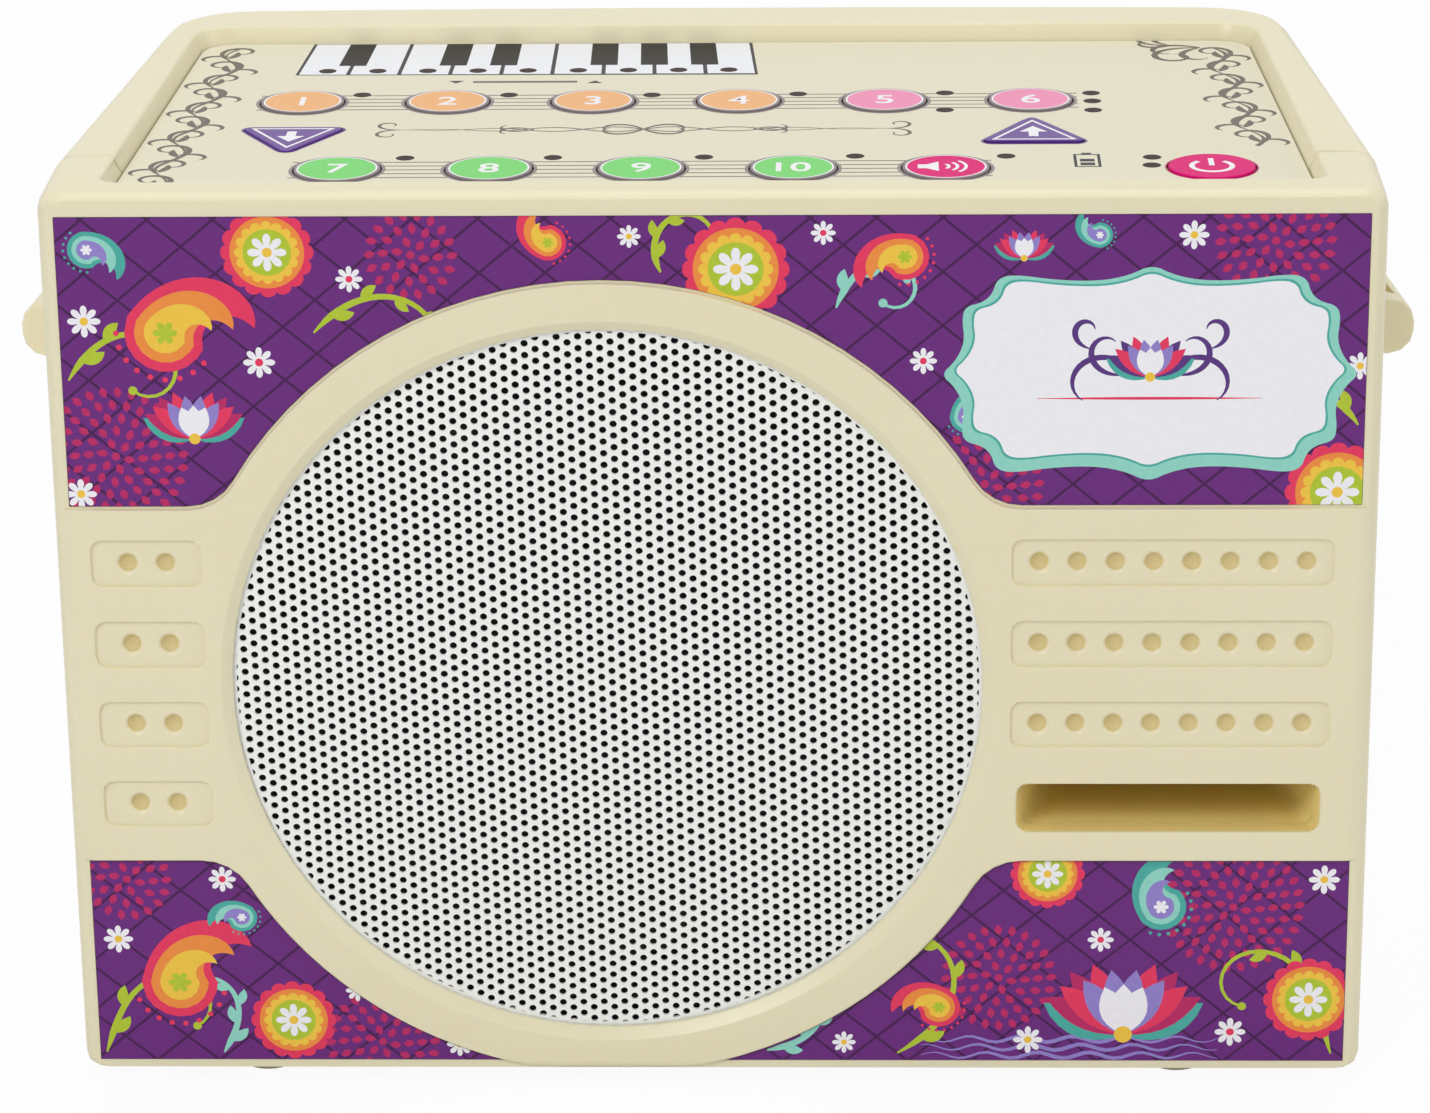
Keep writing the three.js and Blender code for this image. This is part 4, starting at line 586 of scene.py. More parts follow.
def printed_plate(name, outline, ground, picture, place, backing):
    """A thin plate whose face is divided exactly along the outlines of what is printed on it.
    Later outlines lie over earlier ones, one whose ink is None is a hole, and backing leads to the back."""
    layers = [(outline, ground), *picture]
    corners, edges = [], []
    for points, _ in layers:
        first, count = len(corners), len(points)
        corners.extend(Vector(point) for point in points)
        edges.extend((first + i, first + (i + 1) % count) for i in range(count))
    spots, _, faces, *_ = delaunay_2d_cdt(corners, edges, [], 0, 0.002, False)
    middles = np.array([sum((spots[i] for i in face), Vector((0, 0))) / len(face) for face in faces])
    top = np.full(len(faces), -1)
    for i, (points, _) in enumerate(layers):
        low, high = np.min(points, axis=0), np.max(points, axis=0)
        near = np.nonzero(np.all((middles >= low) & (middles <= high), axis=1) & ((top >= 0) | (i == 0)))[0]
        top[near[covered(points, middles[near])]] = i
    shown = [(face, layers[i][1]) for face, i in zip(faces, top) if i >= 0 and layers[i][1]]
    used = sorted({corner for face, _ in shown for corner in face})
    order = {corner: i for i, corner in enumerate(used)}
    mesh = bpy.data.meshes.new(name)
    mesh.from_pydata([place(*spots[i]) * MM for i in used], [],
                     [[order[i] for i in face] for face, _ in shown])
    names = sorted({ink for _, ink in shown})
    for ink in names:
        mesh.materials.append(inks[ink])
    for polygon, (_, ink) in zip(mesh.polygons, shown):
        polygon.material_index = names.index(ink)
    piece = new_piece(name, mesh)
    edit(piece)
    bpy.ops.mesh.extrude_region_move(TRANSFORM_OT_translate={"value": backing * MM})
    leave_edit()
    return piece


def polar(centre, radius, angle):
    """The spot at a radius and an angle in radians from a centre."""
    return (centre[0] + radius * math.cos(angle), centre[1] + radius * math.sin(angle))


def swelling(thin, rise, steps, power=1.0):
    """Half widths of a stroke that is thin at both ends and swells between them."""
    return [thin + rise * math.sin(math.pi * i / steps) ** power for i in range(steps + 1)]


def round_outline(centre, radius_at, steps=48):
    """A closed outline whose radius follows the angle."""
    return [polar(centre, radius_at(a), a) for a in (2 * math.pi * i / steps for i in range(steps))]


def curl(start, heading, length, bend_start, bend_end, steps=18):
    """A line that sets out along a heading in degrees, its bend going from one to another radians per mm."""
    x, z = start
    angle = math.radians(heading)
    line = [(x, z)]
    for i in range(steps):
        angle += (bend_start + (bend_end - bend_start) * (i + 0.5) / steps) * length / steps
        x += math.cos(angle) * length / steps
        z += math.sin(angle) * length / steps
        line.append((x, z))
    return line


def stroke(line, half_widths):
    """The outline of a brush stroke along a line, with its half width at each point."""
    left, right = [], []
    for i, (x, z) in enumerate(line):
        before, after = line[max(i - 1, 0)], line[min(i + 1, len(line) - 1)]
        along = Vector((after[0] - before[0], after[1] - before[1])).normalized() * half_widths[i]
        left.append((x - along.y, z + along.x))
        right.append((x + along.y, z - along.x))
    return left + right[::-1]


def leaf(base, heading, length, width, bend=0.0, steps=7):
    return stroke(curl(base, heading, length, bend, bend, steps), swelling(0.02, width / 2, steps, 0.85))


def paisley(centre, size, heading, side):
    """A drop whose tail curls over to one side."""
    steps = 18
    line = curl(centre, heading, 2.9 * size, side * 0.6 / size, side * 1.1 / size, steps)
    half_widths = [size * (1 - i / steps) ** 0.85 + 0.03 for i in range(steps + 1)]
    cap = [math.radians(heading - 90 - 180 * i / 9) for i in range(1, 9)]
    return stroke(line, half_widths) + [polar(centre, size, a) for a in cap]


def disc(centre, radius, steps=24):
    return round_outline(centre, lambda a: radius, steps)


def petals(centre, count, inner, outer):
    def reach(angle):
        return inner + (outer - inner) * abs(math.cos(count * angle / 2)) ** 0.6
    return round_outline(centre, reach, count * 8)


def daisy(x, z, radius, heart="yellow"):
    return [(petals((x, z), 8, radius * 0.38, radius), "white"), (disc((x, z), radius * 0.26, 14), heart)]


def rosette(x, z, radius):
    centre = (x, z)
    return [
        (petals(centre, 16, radius * 0.9, radius), "coral"),
        (disc(centre, radius * 0.8, 40), "orange"),
        (petals(centre, 16, radius * 0.6, radius * 0.7), "yellow"),
        (disc(centre, radius * 0.52, 30), "lime"),
        *daisy(x, z, radius * 0.42),
    ]


def foliage(x, z, radius, ink="rose"):
    """A round bush of small leaves in rings, around a dot."""
    shapes = [(disc((x, z), 0.7, 10), ink)]
    ring = 1.3
    while ring < radius:
        count = int(2 * math.pi * (ring + 0.9) / 2.3)
        for i in range(count):
            angle = 360 * (i + (ring % 2) / 2) / count
            base = polar((x, z), ring, math.radians(angle))
            shapes.append((leaf(base, angle + 14, 1.9, 1.25, 0.0, 4), ink))
        ring += 2.2
    return shapes


def drop(x, z, size, heading, side, colours):
    """Paisleys one within another, with a dot in the heart and beads round the back."""
    shapes = [(paisley((x, z), size * share, heading, side), ink)
              for share, ink in zip((1.0, 0.76, 0.52), colours)]
    shapes.append((petals((x, z), 6, size * 0.14, size * 0.3), colours[3]))
    for i in range(9):
        bead = polar((x, z), size * 1.2, math.radians(heading + 110 + 140 * i / 8))
        shapes.append((disc(bead, size * 0.075, 8), colours[0]))
    return shapes


def lotus(x, z, size, colours=("rose", "coral", "lavender", "white")):
    """Petals in a fan, the outer ones behind, on two spread leaves."""
    shapes = [(leaf((x, z), angle, size * 0.95, size * 0.34, bend / size), "teal")
              for angle, bend in ((172, -0.5), (8, 0.5))]
    fans = ((colours[0], (152, 28, 128, 52), 0.95), (colours[1], (140, 40, 112, 68), 0.9),
            (colours[2], (124, 56, 100, 80), 0.78), (colours[3], (110, 70, 90), 0.6))
    for ink, angles, reach in fans:
        shapes += [(leaf((x, z), angle, size * reach, size * 0.3), ink) for angle in angles]
    shapes.append((disc((x, z), size * 0.1, 12), "yellow"))
    return shapes


def vine(start, heading, length, bend_start, bend_end, ink="lime", leaf_size=4.5, side=1):
    """A tapering stem that ends in a curl, with leaves left and right of it."""
    steps = 26
    line = curl(start, heading, length, bend_start, bend_end, steps)
    half_widths = [min(0.14 + 0.16 * i, 0.62 - 0.4 * i / steps) for i in range(steps + 1)]
    shapes = [(stroke(line, half_widths), ink)]
    for i in range(3, steps - 8, 4):
        (x0, z0), (x1, z1) = line[i], line[i + 1]
        along = math.degrees(math.atan2(z1 - z0, x1 - x0))
        side = -side
        size = leaf_size * (1 - 0.45 * i / steps)
        shapes.append((leaf(line[i], along + side * 48, size, size * 0.46, -side * 0.16), ink))
    shapes.append((disc(line[-1], 0.75, 12), ink))
    return shapes


def cartouche(centre, half_width, half_height):
    """An ornamental plaque with a point at each side and a rise at top and bottom."""
    quarter = [(1.0, 0.0), (0.93, 0.12), (0.885, 0.3), (0.9, 0.5), (0.885, 0.62), (0.8, 0.66), (0.755, 0.74),
               (0.735, 0.87), (0.66, 0.915), (0.45, 0.86), (0.25, 0.85), (0.11, 0.9), (0.0, 1.0)]
    ring = []
    for sign_x, sign_z in ((1, 1), (-1, 1), (-1, -1), (1, -1)):
        part = quarter if sign_x == sign_z else quarter[::-1]
        ring += [(sign_x * x, sign_z * z) for x, z in part[:-1]]
    for _ in range(2):
        ring = [(a[0] + (b[0] - a[0]) * share, a[1] + (b[1] - a[1]) * share)
                for a, b in zip(ring, ring[1:] + ring[:1]) for share in (0.25, 0.75)]
    return [(centre[0] + x * half_width, centre[1] + z * half_height) for x, z in ring]


PLAQUE_MIDDLE_X = 70.4
warm = ("coral", "orange", "yellow", "lime")
cool = ("teal", "mint", "lavender", "white")

upper_picture = [
    *foliage(-97, 113, 11),
    *foliage(44, 108, 10),
    *foliage(90, 149, 10),
    *foliage(-48, 147, 7),
    *vine((-104, 126), 60, 34, -0.02, -0.26),
    *vine((-64, 134), 50, 36, -0.03, -0.2, "lime", 4.0),
    *vine((-8, 144), 120, 22, -0.1, -0.3, "lime", 3.5),
    *vine((20, 138), 70, 26, -0.02, -0.36, "mint", 4.0, -1),
    *vine((104, 118), 120, 26, 0.05, 0.3, "lime", 4.0),
    *rosette(-71, 147.5, 7.5),
    *rosette(4, 144.5, 8.6),
    *rosette(101, 106.5, 8.5),
    *drop(-88, 134, 6.6, 70, -1, warm),
    *drop(-26, 149, 3.0, 175, -1, warm),
    *drop(31, 146.5, 3.9, 150, 1, warm),
    *drop(41, 119.5, 2.7, 100, -1, cool),
    *drop(-100, 148, 3.1, 20, -1, cool),
    *drop(62, 150, 2.1, 190, -1, cool),
    *lotus(-84, 116, 9.5),
    *lotus(50, 146.2, 5.6),
    *daisy(-101, 136, 2.7),
    *daisy(-73, 129, 2.6, "coral"),
    *daisy(-103, 106.5, 2.6),
    *daisy(-58, 143, 2.2, "coral"),
    *daisy(-13, 150, 1.9),
    *daisy(18, 150.5, 2.0, "coral"),
    *daisy(77, 150, 2.4),
    *daisy(34, 129, 2.2, "coral"),
    *daisy(104, 128, 2.3),
    (cartouche((PLAQUE_MIDDLE_X, 126.7), 33.6, 18.4), "mint"),
    (cartouche((PLAQUE_MIDDLE_X, 127.4), 32.0, 16.9), "teal"),
    (cartouche((PLAQUE_MIDDLE_X, 127.4), 31.6, 16.5), "white"),
    (stroke([(52.4 + 36 * i / 12, 122.6) for i in range(13)], swelling(0.04, 0.2, 12)), "coral"),
]
plaque_scrolls = (
    ((2.0, 127.2), 42, 17, (-0.06, -0.32)),
    ((4.0, 126.6), -8, 13, (0.1, 0.5)),
    ((9.6, 131.0), 10, 9, (0.2, 0.75)),
)
for side in (1, -1):
    for start, heading, length, bends in plaque_scrolls:
        line = [(PLAQUE_MIDDLE_X + side * x, z) for x, z in curl(start, heading, length, *bends)]
        upper_picture.append((stroke(line, swelling(0.08, 0.42, 18)), "violet"))
upper_picture += lotus(PLAQUE_MIDDLE_X, 126.2, 8.2, ("violet", "coral", "lavender", "white"))

lower_left_picture = [
    *foliage(-57, 8, 9),
    *foliage(-99, 38, 7),
    *vine((-104, 6), 70, 34, 0.02, -0.24),
    *vine((-84, 6), 60, 22, 0.0, 0.3, "mint", 4.0),
    *rosette(-72, 12, 7.2),
    *drop(-91, 19, 6.4, 95, -1, warm),
    *drop(-80, 31, 2.6, 130, 1, cool),
    *daisy(-101, 27, 2.5),
    *daisy(-83, 38, 2.3, "coral"),
    *daisy(-44, 7.5, 2.2),
    *daisy(-61, 17.5, 2.0, "coral"),
]

lower_right_picture = [
    *foliage(47, 20, 10),
    *foliage(86, 33, 11),
    *vine((30, 6), 30, 42, 0.02, 0.2),
    *vine((103, 6), 110, 40, -0.04, 0.24),
    *vine((8, 6.5), 10, 24, 0.02, 0.3, "mint", 3.7),
    *rosette(99, 16, 7.6),
    *rosette(55, 39, 6.2),
    *drop(74, 33, 4.2, 140, -1, cool),
    *drop(37, 14.5, 3.6, 120, 1, warm),
    *lotus(68, 9.5, 15.5),
    *daisy(52, 8.5, 2.5),
    *daisy(86, 10, 2.6, "coral"),
    *daisy(101, 38, 2.6),
    *daisy(64, 27, 2.2, "coral"),
    *daisy(21, 8, 2.0),
]
for row in range(3):
    wave = [(34 + 50 * i / 40, 5.6 + 1.5 * row + 0.55 * math.sin(i * 0.9 + row)) for i in range(41)]
    lower_right_picture.insert(0, (stroke(wave, swelling(0.05, 0.3, 40)), "lavender"))

pictures = {
    "label_upper": upper_picture,
    "label_lower_left": lower_left_picture,
    "label_lower_right": lower_right_picture,
}
for node, picture in pictures.items():
    label = printed_plate(f"{node}_print", face_outline(node, 1, LABEL_FACE_Y), "purple", picture,
                          lambda x, z: Vector((x, LABEL_FACE_Y, z)), Vector((0, LABEL_THICKNESS, 0)))
    fit(label, "case", "printed_film", None, node)

# Keypad plate, board and ribbon
# Under the keypad sheet an ivory moulded plate carries a circuit board with its push switches and
# lamps, and a flat grey ribbon leads down to the main board.

# Circuit board: green solder mask over glass-epoxy, smooth and a little uneven over its tracks
board_mask = finish("green_solder_mask", "#2F7443", "#235C34", 3, 0.9, 0.02, (0.3, 0.45))
# Ribbon cable: soft grey vinyl in fine parallel ribs, which run along the ribbon at 1.27 mm
ribbon_vinyl = finish("grey_ribbon_vinyl", "#A4A4A8", "#8C8C92", 1.27, 1.27, 0.1, (0.45, 0.6),
                      (1, 0.02, 0.02))
paint(ivory_abs, "keypad_plate")
paint(board_mask, "keypad_board")
paint(ribbon_vinyl, "keypad_ribbon")

# Keypad sheet
# A cream printed membrane bonded into the sunk top. It carries a row of piano keys, stave lines
# between the keys, scrolls at the edges and small dark red lamp windows.

SHEET_TOP_Z = 154.4
SHEET_THICKNESS = 0.5
KEY_HOLE_RADIUS = 7.4
KEY_RING_RADIUS = 7.95
POWER_RING_RADIUS = 7.65
KEY_PITCH = 24.9
BACK_ROW = [(-71.5 + KEY_PITCH * i, 4.8) for i in range(6)]
FRONT_ROW = [(-61.7 + KEY_PITCH * i, -36.6) for i in range(5)]
POWER_KEY = (81.2, -36.6)
# Place of the down and the up key, and whether each points back (1) or forward (-1)
CURSOR_KEYS = (((-71.3, -18.9), -1), ((52.8, -14.1), 1))
STAVE_PITCH = 2.25
STAVE_HALF_WIDTH = 0.23
LAMP_WINDOW_RADIUS = 1.55
LAMP_WINDOWS = [
    (-61.7, 9.9), (-36.4, 9.5), (-11.8, 9.2), (13.3, 9.5), (38.5, 9.8), (38.3, -1.1), (63.5, 9.4),
    (63.5, 4.3), (63.4, -1.5), (-51.1, -29.6), (-26.7, -29.6), (-1.8, -29.6), (23.1, -29.3), (47.9, -29.6),
    (71.8, -30.5), (71.5, -35.2), *((-69.2 + 8.78 * i, 25.7) for i in range(9)),
]

flat = {"Specular IOR Level": 0.03}
inks.update({
    "cream": printed_ink("cream_membrane", "#EBE6CE", "#E6E0C6", (0.38, 0.5)),
    "rim_grey": printed_ink("grey_rim_ink", "#8F8486", "#877C7E"),
    "grey": printed_ink("grey_line_ink", "#7E7476", "#756B6D", **flat),
    "scroll": printed_ink("grey_brown_ink", "#7E776E", "#746D64", **flat),
    "slate": printed_ink("dark_slate_ink", "#4E4C50", "#444247", **flat),
    "black": printed_ink("black_ink", "#3A3836", "#2F2D2B", **flat),
    "key_white": printed_ink("bright_white_ink", "#F6F8FC", "#F0F2F6"),
    "red_window": printed_ink("dark_red_window", "#2E0B0C", "#240708", (0.2, 0.3), **flat),
})


def bar(x0, x1, y0, y1):
    return [(x0, y0), (x1, y0), (x1, y1), (x0, y1)]


def triangle_outline(centre, turn, grow, steps=6):
    """The rounded triangle of a cursor key, grown by so many mm. It points back for turn 1, else forward."""
    half, low, high = 9.0 + 1.73 * grow, -7.7 - grow, 7.7 + 2 * grow
    corners = [Vector((-half, low)), Vector((half, low)), Vector((0, high))]
    radius = max(1.2 + grow, 0.1)
    ring = []
    for i, corner in enumerate(corners):
        back = (corners[i - 1] - corner).normalized()
        on = (corners[(i + 1) % 3] - corner).normalized()
        half_angle = math.acos(back.dot(on)) / 2
        middle = corner + (back + on).normalized() * radius / math.sin(half_angle)
        start = corner + back * radius / math.tan(half_angle) - middle
        for step in range(steps + 1):
            angle = math.atan2(start.y, start.x) + (math.pi - 2 * half_angle) * step / steps
            ring.append(polar(middle, radius, angle))
    return [(centre[0] + turn * x, centre[1] + turn * y) for x, y in ring]


sheet_picture = []
for row, start, end in ((BACK_ROW, -79.0, 61.0), (FRONT_ROW, -69.4, 45.4)):
    for i in range(5):
        level = row[0][1] + (i - 2) * STAVE_PITCH
        sheet_picture.append((bar(start, end, level - STAVE_HALF_WIDTH, level + STAVE_HALF_WIDTH), "grey"))
sheet_picture += [(disc(spot, KEY_RING_RADIUS, 64), "rim_grey") for spot in (*BACK_ROW, *FRONT_ROW)]
sheet_picture += [(triangle_outline(spot, turn, 0.75), "violet") for spot, turn in CURSOR_KEYS]
sheet_picture.append((disc(POWER_KEY, POWER_RING_RADIUS, 64), "rose"))

# The row of piano keys narrows a little towards the back
sheet_picture.append(([(-74.6, 22.9), (6.2, 22.4), (4.8, 44.1), (-73.3, 44.1)], "slate"))


def on_strip(count, y):
    """A place across the row of piano keys, counted in ninths of its width."""
    back = (y - 23.2) / 20.5
    left, right = -74.4 + 1.3 * back, 6.0 - 1.4 * back
    return (left + (right - left) * (count / 9), y)


piano_keys = [(i + 0.04, i + 0.96, 23.4, 23.3, "key_white") for i in range(9)]
piano_keys += [(i - 0.27, i + 0.27, 29.2, 29.2, "black") for i in (1, 3, 4, 6, 7, 8)]
for left, right, left_y, right_y, ink in piano_keys:
    corners = ((left, left_y), (right, right_y), (right, 43.9), (left, 43.9))
    sheet_picture.append(([on_strip(*corner) for corner in corners], ink))

# Slider marks, a battery sign and scrolls
sheet_picture += [
    ([(-47.5, 18.9), (-44.7, 18.9), (-46.1, 17.2)], "slate"),
    ([(-23.4, 17.1), (-20.6, 17.1), (-22.0, 18.8)], "slate"),
    (bar(-43.2, -25.1, 17.5, 18.7), "grey"),
    (bar(58.9, 63.3, -36.2, -28.6), "slate"),
    (bar(59.4, 62.8, -35.7, -29.1), "cream"),
    (bar(60.3, 61.9, -28.6, -27.8), "slate"),
    (bar(59.9, 62.3, -35.2, -33.6), "slate"),
    (bar(59.9, 62.3, -33.0, -31.4), "slate"),
]


def scroll(start, heading, length, bend_start, bend_end, thick, mirror=None):
    """A printed scroll, drawn once and, if asked, once more mirrored about a line across."""
    steps = 22
    line = curl(start, heading, length, bend_start, bend_end, steps)
    swell = [0.1 + thick * math.sin(math.pi * (0.08 + 0.92 * i / steps)) for i in range(steps + 1)]
    lines = [line] if mirror is None else [line, [(2 * mirror - x, y) for x, y in line]]
    return [(stroke(each, swell), "scroll") for each in lines]


# A twisted line between the rows, with a curl at each end and a pair in the middle
for phase in (0, math.pi):
    wave = []
    for i in range(65):
        lift = 1.5 * math.sin(math.pi * i / 64) * math.sin(phase + math.pi * i / 8)
        wave.append((-53.2 + 81.6 * i / 64, -12.5 + lift))
    sheet_picture.append((stroke(wave, swelling(0.1, 0.16, 64)), "scroll"))
for side in (-1, 1):
    sheet_picture += scroll((28.4, -12.5), 0, 10.5, side * 0.06, side * 0.95, 0.22, -12.4)
    sheet_picture += scroll((-12.4, -12.5), 55 * side, 11, side * -0.02, side * -0.62, 0.3, -12.4)
    sheet_picture += scroll((6.0, -12.5), 30 * side, 9, side * -0.02, side * -0.7, 0.24, -12.4)

# A running scroll up each edge: a waving stem with a spiral in each of its bends
for edge, first_y in ((-1, -49), (1, -24)):
    count = round((40 - first_y) / 9)
    stem = []
    for i in range(count * 6 + 1):
        y = first_y + 1.5 * i
        stem.append((edge * (90.7 - 0.048 * (y + 50)) + 1.7 * math.sin(math.pi * i / 6), y))
    half_widths = [0.32 + 0.14 * math.cos(i * 0.5) for i in range(len(stem))]
    sheet_picture.append((stroke(stem, half_widths), "scroll"))
    for i in range(count):
        side = 1 if i % 2 else -1
        x, y = stem[6 * i + 1]
        sheet_picture += scroll((x, y), 90 + side * 34, 17.5, side * -0.03, side * -0.66, 0.42)
        sheet_picture += scroll((x, y + 2), 90 + side * 62, 7.5, side * 0.12, side * 0.7, 0.4)
        sheet_picture += scroll((x, y + 1), 90 - side * 38, 4.6, side * 0.1, side * 0.3, 0.6)
for turn, length in ((180, 24), (215, 13), (150, 15)):
    sheet_picture += scroll((84, 39.5), turn, length, 0.02, 0.5, 0.5)
    sheet_picture += scroll((79, 41), turn, length * 0.7, -0.04, -0.7, 0.4)
sheet_picture += [(disc(spot, LAMP_WINDOW_RADIUS, 20), "red_window") for spot in LAMP_WINDOWS]
sheet_picture += [(disc(spot, KEY_HOLE_RADIUS, 64), None) for spot in (*BACK_ROW, *FRONT_ROW, POWER_KEY)]
sheet_picture += [(triangle_outline(spot, turn, 0.3), None) for spot, turn in CURSOR_KEYS]

keypad_sheet = printed_plate("keypad_sheet_print", face_outline("keypad_sheet", 2, SHEET_TOP_Z), "cream",
                             sheet_picture, lambda x, y: Vector((x, y, SHEET_TOP_Z)),
                             Vector((0, 0, -SHEET_THICKNESS)))
fit(keypad_sheet, "case", "cream_sheet", None, "keypad_sheet")

# Keys
# Embossed plastic caps of the membrane, each printed in one colour inside a white line and a grey rim,
# and each pressing on its switch with a short stem.

KEY_RADIUS = 7.1
KEY_TOP_Z = 154.7
CAP_UNDERSIDE_Z = 154.1
# Inset and rise of the two steps of a cap's rounded edge, and the widths of its printed bands
CAP_EDGE = ((0.05, 0.12), (0.13, 0.06))
CAP_BANDS = (0.27, 0.3, 0.2)
TRIANGLE_CAP_RADIUS = 10.27
TRIANGLE_CAP_ROUND = 2.05
STEM_BOTTOM_Z = 151.0
STEM_TOP_Z = 154.3
STEM_RADIUS = 2.0
NUMBER_SIZE = 7.2
SIGN_THICKNESS = 0.03
SIGN_BOTTOM_Z = KEY_TOP_Z - 0.01
CAP_GLOSS = (0.28, 0.38)

for name, pale, deep in (("key_orange", "#F6B672", "#F2AC62"), ("key_pink", "#F68EB8", "#F083B0"),
                         ("key_green", "#70DD64", "#64D358"), ("key_violet", "#613093", "#57288A"),
                         ("glyph_white", "#FBFAFC", "#F4F3F6")):
    inks[name] = printed_ink(name + "_print", pale, deep, CAP_GLOSS)
inks["key_magenta"] = printed_ink("key_magenta_print", "#E91C7E", "#E01476", CAP_GLOSS, **flat)


def embossed_cap(name, cap_inks, corners=48, radius=KEY_RADIUS, corner_round=0):
    """A low cap on a stem at the origin: rim, line and field are printed in three inks."""
    select_only()
    bpy.ops.mesh.primitive_circle_add(vertices=corners, radius=radius * MM, fill_type="NGON",
                                      location=(0, 0, CAP_UNDERSIDE_Z * MM))
    cap = bpy.context.object
    cap.name = name
    for ink in cap_inks:
        cap.data.materials.append(inks[ink])
    edit(cap)
    if corner_round:
        bpy.ops.mesh.bevel(offset=corner_round * MM, segments=8, affect="VERTICES")
        bpy.ops.mesh.select_all(action="SELECT")
    wall = KEY_TOP_Z - CAP_UNDERSIDE_Z - sum(rise for _, rise in CAP_EDGE)
    bpy.ops.mesh.extrude_region_move(TRANSFORM_OT_translate={"value": (0, 0, wall * MM)})
    for inset, rise in CAP_EDGE:
        bpy.ops.mesh.inset(thickness=inset * MM, depth=rise * MM)
    for i, width in enumerate(CAP_BANDS):
        cap.active_material_index = i
        bpy.ops.object.material_slot_assign()
        bpy.ops.mesh.inset(thickness=width * MM, depth=0)
    face_outwards()
    bpy.ops.mesh.primitive_cylinder_add(vertices=32, radius=STEM_RADIUS * MM,
                                        depth=(STEM_TOP_Z - STEM_BOTTOM_Z) * MM,
                                        location=(0, 0, (STEM_TOP_Z + STEM_BOTTOM_Z) / 2 * MM))
    combine(cap, "UNION", bpy.context.object)
    settle(cap)
    return cap


def raised_sign(name, outlines, holes=()):
    """A sign drawn about the origin in white ink, one thin raised layer on a cap."""
    cut = [(hole, None) for hole in holes]
    return joined(*(printed_plate(f"{name}_{i}", points, "glyph_white", cut,
                                  lambda x, y: Vector((x, y, SIGN_BOTTOM_Z)), Vector((0, 0, SIGN_THICKNESS)))
                    for i, points in enumerate(outlines)))


def number_sign(number):
    """A plain number, centred on the origin, as a thin raised layer of ink."""
    select_only()
    bpy.ops.object.text_add(location=(0, 0, 0))
    text = bpy.context.object.data
    text.body = str(number)
    text.size = NUMBER_SIZE * MM
    text.offset = 0.1 * MM
    text.extrude = SIGN_THICKNESS / 2 * MM
    text.align_x = "CENTER"
    bpy.ops.object.convert(target="MESH")
    sign = bpy.context.object
    middle = sum((Vector(corner) for corner in sign.bound_box), Vector()) / 8
    level = (SIGN_BOTTOM_Z + SIGN_THICKNESS / 2) * MM
    sign.data.transform(Matrix.Translation(Vector((-middle.x, -middle.y, level))))
    sign.data.materials.clear()
    sign.data.materials.append(inks["glyph_white"])
    return sign


def finished_key(master, node, spot, slot, sign):
    """A copy of a cap with its sign, set in its place over its switch."""
    key = joined(new_piece(f"{node}_emboss", master.data.copy()), sign)
    key.data.transform(Matrix.Translation(Vector((*spot, 0)) * MM))
    fit(key, f"{node}_cap", slot, None, node)
    bpy.context.view_layer.update()


def arc_band(centre, radius, half_width, from_angle, to_angle, steps=24):
    angles = [math.radians(from_angle + (to_angle - from_angle) * i / steps) for i in range(steps + 1)]
    return stroke([polar(centre, radius, a) for a in angles], [half_width] * (steps + 1))


masters = {ink: embossed_cap(f"{ink}_master", ("rim_grey", "glyph_white", ink))
           for ink in ("key_orange", "key_pink", "key_green", "key_magenta")}
for i, spot in enumerate(BACK_ROW):
    colour = "orange" if i < 4 else "pink"
    finished_key(masters[f"key_{colour}"], f"key_back_{i + 1}", spot, f"{colour}_key", number_sign(i + 1))
for i, spot in enumerate(FRONT_ROW[:4]):
    finished_key(masters["key_green"], f"key_front_{i + 1}", spot, "green_key", number_sign(i + 7))

# A loudspeaker with sound waves on the volume key
speaker_sign = raised_sign("loudspeaker_sign", [
    [(-4.6, -1.1), (-3.2, -1.1), (-1.2, -2.7), (-1.2, 2.7), (-3.2, 1.1), (-4.6, 1.1)],
    arc_band((-1.4, 0), 1.9, 0.28, -42, 42, 10),
    arc_band((-1.4, 0), 3.3, 0.28, -42, 42, 12),
    arc_band((-1.4, 0), 4.7, 0.28, -42, 42, 14),
])
finished_key(masters["key_magenta"], "key_front_5", FRONT_ROW[4], "magenta_key", speaker_sign)

# A broken circle with an upright bar on the power key
masters["power"] = embossed_cap("power_master", ("key_magenta",) * 3)
power_sign = raised_sign("power_sign", [arc_band((0, -0.2), 3.3, 0.45, 128, 412), bar(-0.45, 0.45, 0.1, 4.2)])
finished_key(masters["power"], "key_power", POWER_KEY, "magenta_key", power_sign)

# Violet triangles with a white line and an arrow
arrow = [(-0.8, -4.6), (0.8, -4.6), (0.8, -1.8), (2.3, -1.8), (0, 1.6), (-2.3, -1.8), (-0.8, -1.8)]
for node, (spot, turn) in zip(("key_down", "key_up"), CURSOR_KEYS):
    cap = embossed_cap(f"{node}_master", ("key_violet",) * 3, 3, TRIANGLE_CAP_RADIUS, TRIANGLE_CAP_ROUND)
    places = [corner.co.y for corner in cap.data.vertices]
    cap.data.transform(Matrix.Translation((0, -(max(places) + min(places)) / 2, 0)))
    if turn < 0:
        cap.data.transform(Matrix.Rotation(math.pi, 4, "Z"))
    line_sign = raised_sign(f"{node}_line", [triangle_outline((0, 0), turn, -1.1)],
                            [triangle_outline((0, 0), turn, -1.6)])
    arrow_sign = raised_sign(f"{node}_arrow", [[(turn * x, turn * y) for x, y in arrow]])
    finished_key(cap, node, spot, "violet_key", joined(line_sign, arrow_sign))
    masters[node] = cap
for master in masters.values():
    bpy.data.objects.remove(master)

